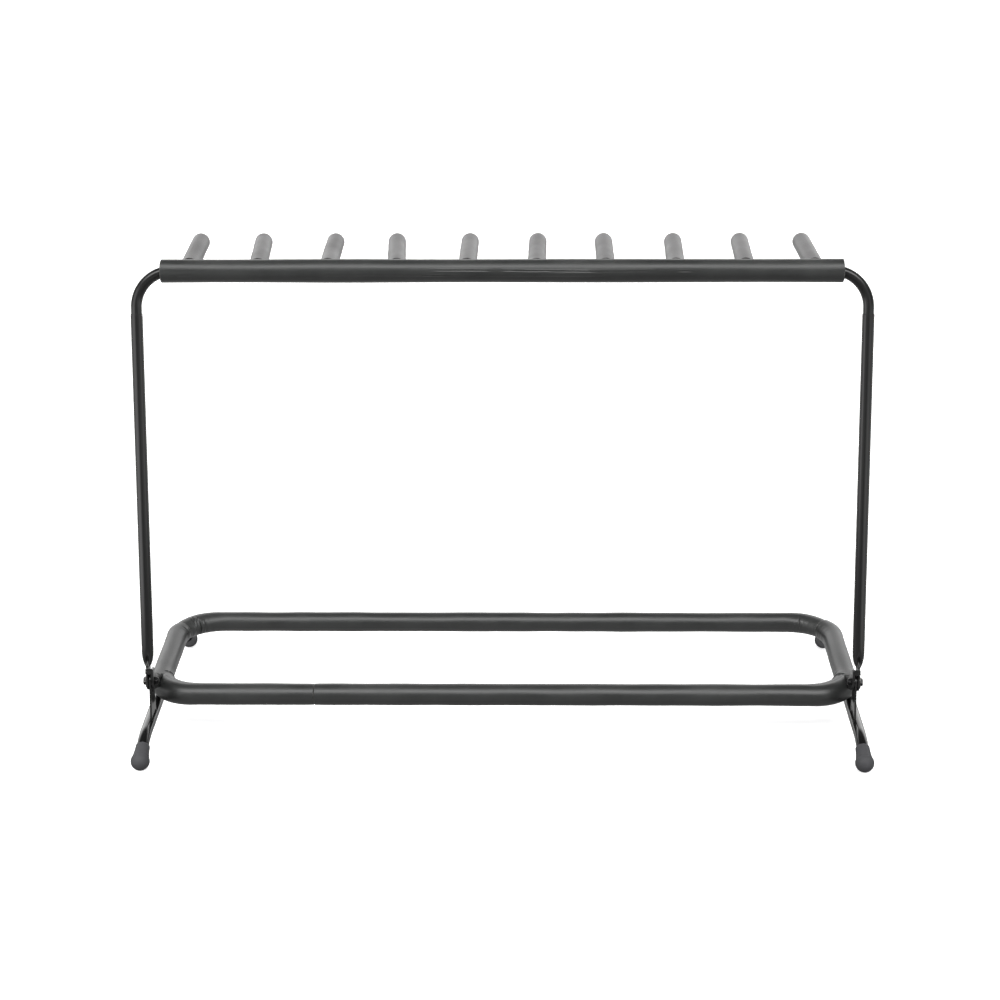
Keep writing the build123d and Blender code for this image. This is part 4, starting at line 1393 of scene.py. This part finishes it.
def make_floor(props):
    """A wide floor in one plain pale colour, as the camera sees it.  For every other ray it is a glowing sheet of
    painted light, which lights the rack and shows in its reflections, dimmer in front of the rack, where the camera
    stands, than behind it and at its sides."""
    reach, cells = 30.0, 12
    line = np.linspace(-reach, reach, cells + 1)
    x, y = np.meshgrid(line, line)
    points = np.stack((x, y, np.zeros_like(x)), -1).reshape(-1, 3)
    row, column = np.meshgrid(np.arange(cells), np.arange(cells), indexing="ij")
    first = row * (cells + 1) + column
    quads = np.stack((first, first + 1, first + cells + 2, first + cells + 1), -1).reshape(-1, 4)
    mesh = bpy.data.meshes.new("floor")
    mesh.from_pydata(points.tolist(), [], quads.tolist())
    fixed = {"Base Color": (*props.floor, 1.0), "Specular IOR Level": 0.1}
    fixed.update({"Emission Color": (1.0, 1.0, 1.0, 1.0), "Emission Strength": props.floor_glow})
    material, tree, shader = new_material("floor", fixed)
    place = object_place(tree)
    tree.links.new(ramp(tree, noise(tree, place, 3.0), 0.3, 0.7, 0.7, 0.8), shader.inputs["Roughness"])
    split = add_node(tree, "ShaderNodeSeparateXYZ", {"Vector": place})
    in_front = ramp(tree, maths(tree, "MULTIPLY", split.outputs["Y"], -1.0), 0.2, 0.9)
    between = ramp(tree, maths(tree, "ABSOLUTE", split.outputs["X"]), 0.7, 1.15, 1.0, 0.0)
    behind = ramp(tree, split.outputs["Y"], -0.1, 0.6, 0.42, 1.0)
    dimmed = maths(tree, "SUBTRACT", behind, maths(tree, "MULTIPLY", maths(tree, "MULTIPLY", in_front, between), 0.30))
    beside = maths(tree, "MAXIMUM", dimmed, maths(tree, "SUBTRACT", 0.9, maths(tree, "MULTIPLY", between, 0.9)))
    # painted light: this glow stands in for the floor in the rack's reflections and in the light bounced onto it
    glow = add_node(tree, "ShaderNodeEmission", {"Strength": beside})
    camera_ray = add_node(tree, "ShaderNodeLightPath").outputs["Is Camera Ray"]
    mix = add_node(tree, "ShaderNodeMixShader", {0: camera_ray, 1: glow.outputs[0], 2: shader.outputs[0]})
    out = next(n for n in tree.nodes if n.type == "OUTPUT_MATERIAL")
    tree.links.new(mix.outputs[0], out.inputs["Surface"])
    mesh.materials.append(material)
    floor = bpy.data.objects.new("floor", mesh)
    bpy.context.scene.collection.objects.link(floor)


def make_room(props):
    """A room round the rack: a white wall behind it, a long soft light high in front of it, and a
    dim ceiling and rest.  The camera sees plain white past the floor."""
    world = bpy.data.worlds.new("room")
    world.use_nodes = True
    tree = world.node_tree
    tree.nodes.clear()
    toward = add_node(tree, "ShaderNodeTexCoord").outputs["Generated"]
    split = add_node(tree, "ShaderNodeSeparateXYZ", {"Vector": toward})
    front = maths(tree, "MULTIPLY", split.outputs["Y"], -1.0)
    rise = maths(tree, "ARCTAN2", split.outputs["Z"], front)  # 0 level in front, pi / 2 straight up
    box = maths(
        tree, "MULTIPLY",
        maths(tree, "MULTIPLY", ramp(tree, rise, 0.62, 0.78), ramp(tree, rise, 1.15, 1.32, 1.0, 0.0)),
        ramp(tree, maths(tree, "ABSOLUTE", split.outputs["X"]), 0.6, 0.85, 1.0, 0.0),
    )
    wall = maths(
        tree, "MULTIPLY", ramp(tree, split.outputs["Y"], 0.42, 0.85),
        ramp(tree, split.outputs["Z"], 0.38, 0.68, 1.0, 0.0),
    )
    strength = maths(
        tree, "ADD", maths(tree, "ADD", maths(tree, "MULTIPLY", box, props.softbox),
                           maths(tree, "MULTIPLY", wall, props.backdrop)), props.room,
    )
    room = add_node(tree, "ShaderNodeBackground", {"Color": (1.0, 1.0, 1.0, 1.0), "Strength": strength})
    seen = add_node(tree, "ShaderNodeBackground", {"Color": (1.0, 1.0, 1.0, 1.0), "Strength": 1.0})
    camera_ray = add_node(tree, "ShaderNodeLightPath").outputs["Is Camera Ray"]
    mix = add_node(tree, "ShaderNodeMixShader", {0: camera_ray, 1: room.outputs[0], 2: seen.outputs[0]})
    out = tree.nodes.new("ShaderNodeOutputWorld")
    tree.links.new(mix.outputs[0], out.inputs["Surface"])
    bpy.context.scene.world = world


def add_light(name, place, target, size, power):
    """A soft rectangular light that faces a target."""
    light = bpy.data.lights.new(name, "AREA")
    light.shape, light.size, light.size_y = "RECTANGLE", size[0], size[1]
    light.energy = power
    lamp = bpy.data.objects.new(name, light)
    bpy.context.scene.collection.objects.link(lamp)
    lamp.location = place
    lamp.rotation_mode = "QUATERNION"
    lamp.rotation_quaternion = (Vector(target) - Vector(place)).to_track_quat("-Z", "Y")


def add_camera(props):
    """The camera: a little above the rack, behind it, level to within a quarter of a degree."""
    place = Vector((0.0402, -2.8541, 1.2304))
    down, left, roll = 0.3143, -0.0155, -0.0040
    ahead = Vector((math.sin(left) * math.cos(down), math.cos(left) * math.cos(down), -math.sin(down)))
    level = Vector((math.cos(left), -math.sin(left), 0.0))
    over = level.cross(ahead)
    across = math.cos(roll) * level + math.sin(roll) * over
    up = math.cos(roll) * over - math.sin(roll) * level
    camera = bpy.data.objects.new("camera", bpy.data.cameras.new("camera"))
    camera.data.lens, camera.data.sensor_width = props.focal_length, 36.0
    camera.data.clip_start, camera.data.clip_end = 0.05, 100.0
    camera.matrix_world = Matrix.Translation(place) @ Matrix((across, up, -ahead)).transposed().to_4x4()
    bpy.context.scene.collection.objects.link(camera)
    bpy.context.scene.camera = camera


class RACK_PT_panel(Panel):
    """Lists the rack's sizes and colours and the steps that build it"""

    bl_idname = "RACK_PT_panel"
    bl_label = "Folding guitar rack"
    bl_space_type = "VIEW_3D"
    bl_region_type = "UI"
    bl_category = "Guitar rack"

    def draw(self, context):
        for group in scene_props():
            box = self.layout.box()
            for name in type(group).__annotations__:
                box.prop(group, name)
        for step in STEPS:
            self.layout.operator(step.bl_idname)


STEPS = (
    RACK_OT_materials,
    RACK_OT_cradle_foam,
    RACK_OT_rail_foam,
    RACK_OT_peg_foam,
    RACK_OT_upper_tubes,
    RACK_OT_legs,
    RACK_OT_feet,
    RACK_OT_lugs,
    RACK_OT_hardware,
    RACK_OT_frame_finish,
    RACK_OT_stage,
)
GROUPS = (("rack_foam", RackFoam), ("rack_metal", RackMetal), ("rack_stage", RackStage))


def register():
    for name, group in GROUPS:
        bpy.utils.register_class(group)
        setattr(bpy.types.Scene, name, PointerProperty(type=group))
    for step in (*STEPS, RACK_PT_panel):
        bpy.utils.register_class(step)


def unregister():
    for step in (RACK_PT_panel, *reversed(STEPS)):
        bpy.utils.unregister_class(step)
    for name, group in reversed(GROUPS):
        delattr(bpy.types.Scene, name)
        bpy.utils.unregister_class(group)


def main():
    """Runs the steps in order."""
    register()
    for step in STEPS:
        family, name = step.bl_idname.split(".")
        getattr(getattr(bpy.ops, family), name)()


if __name__ == "__main__":
    main()
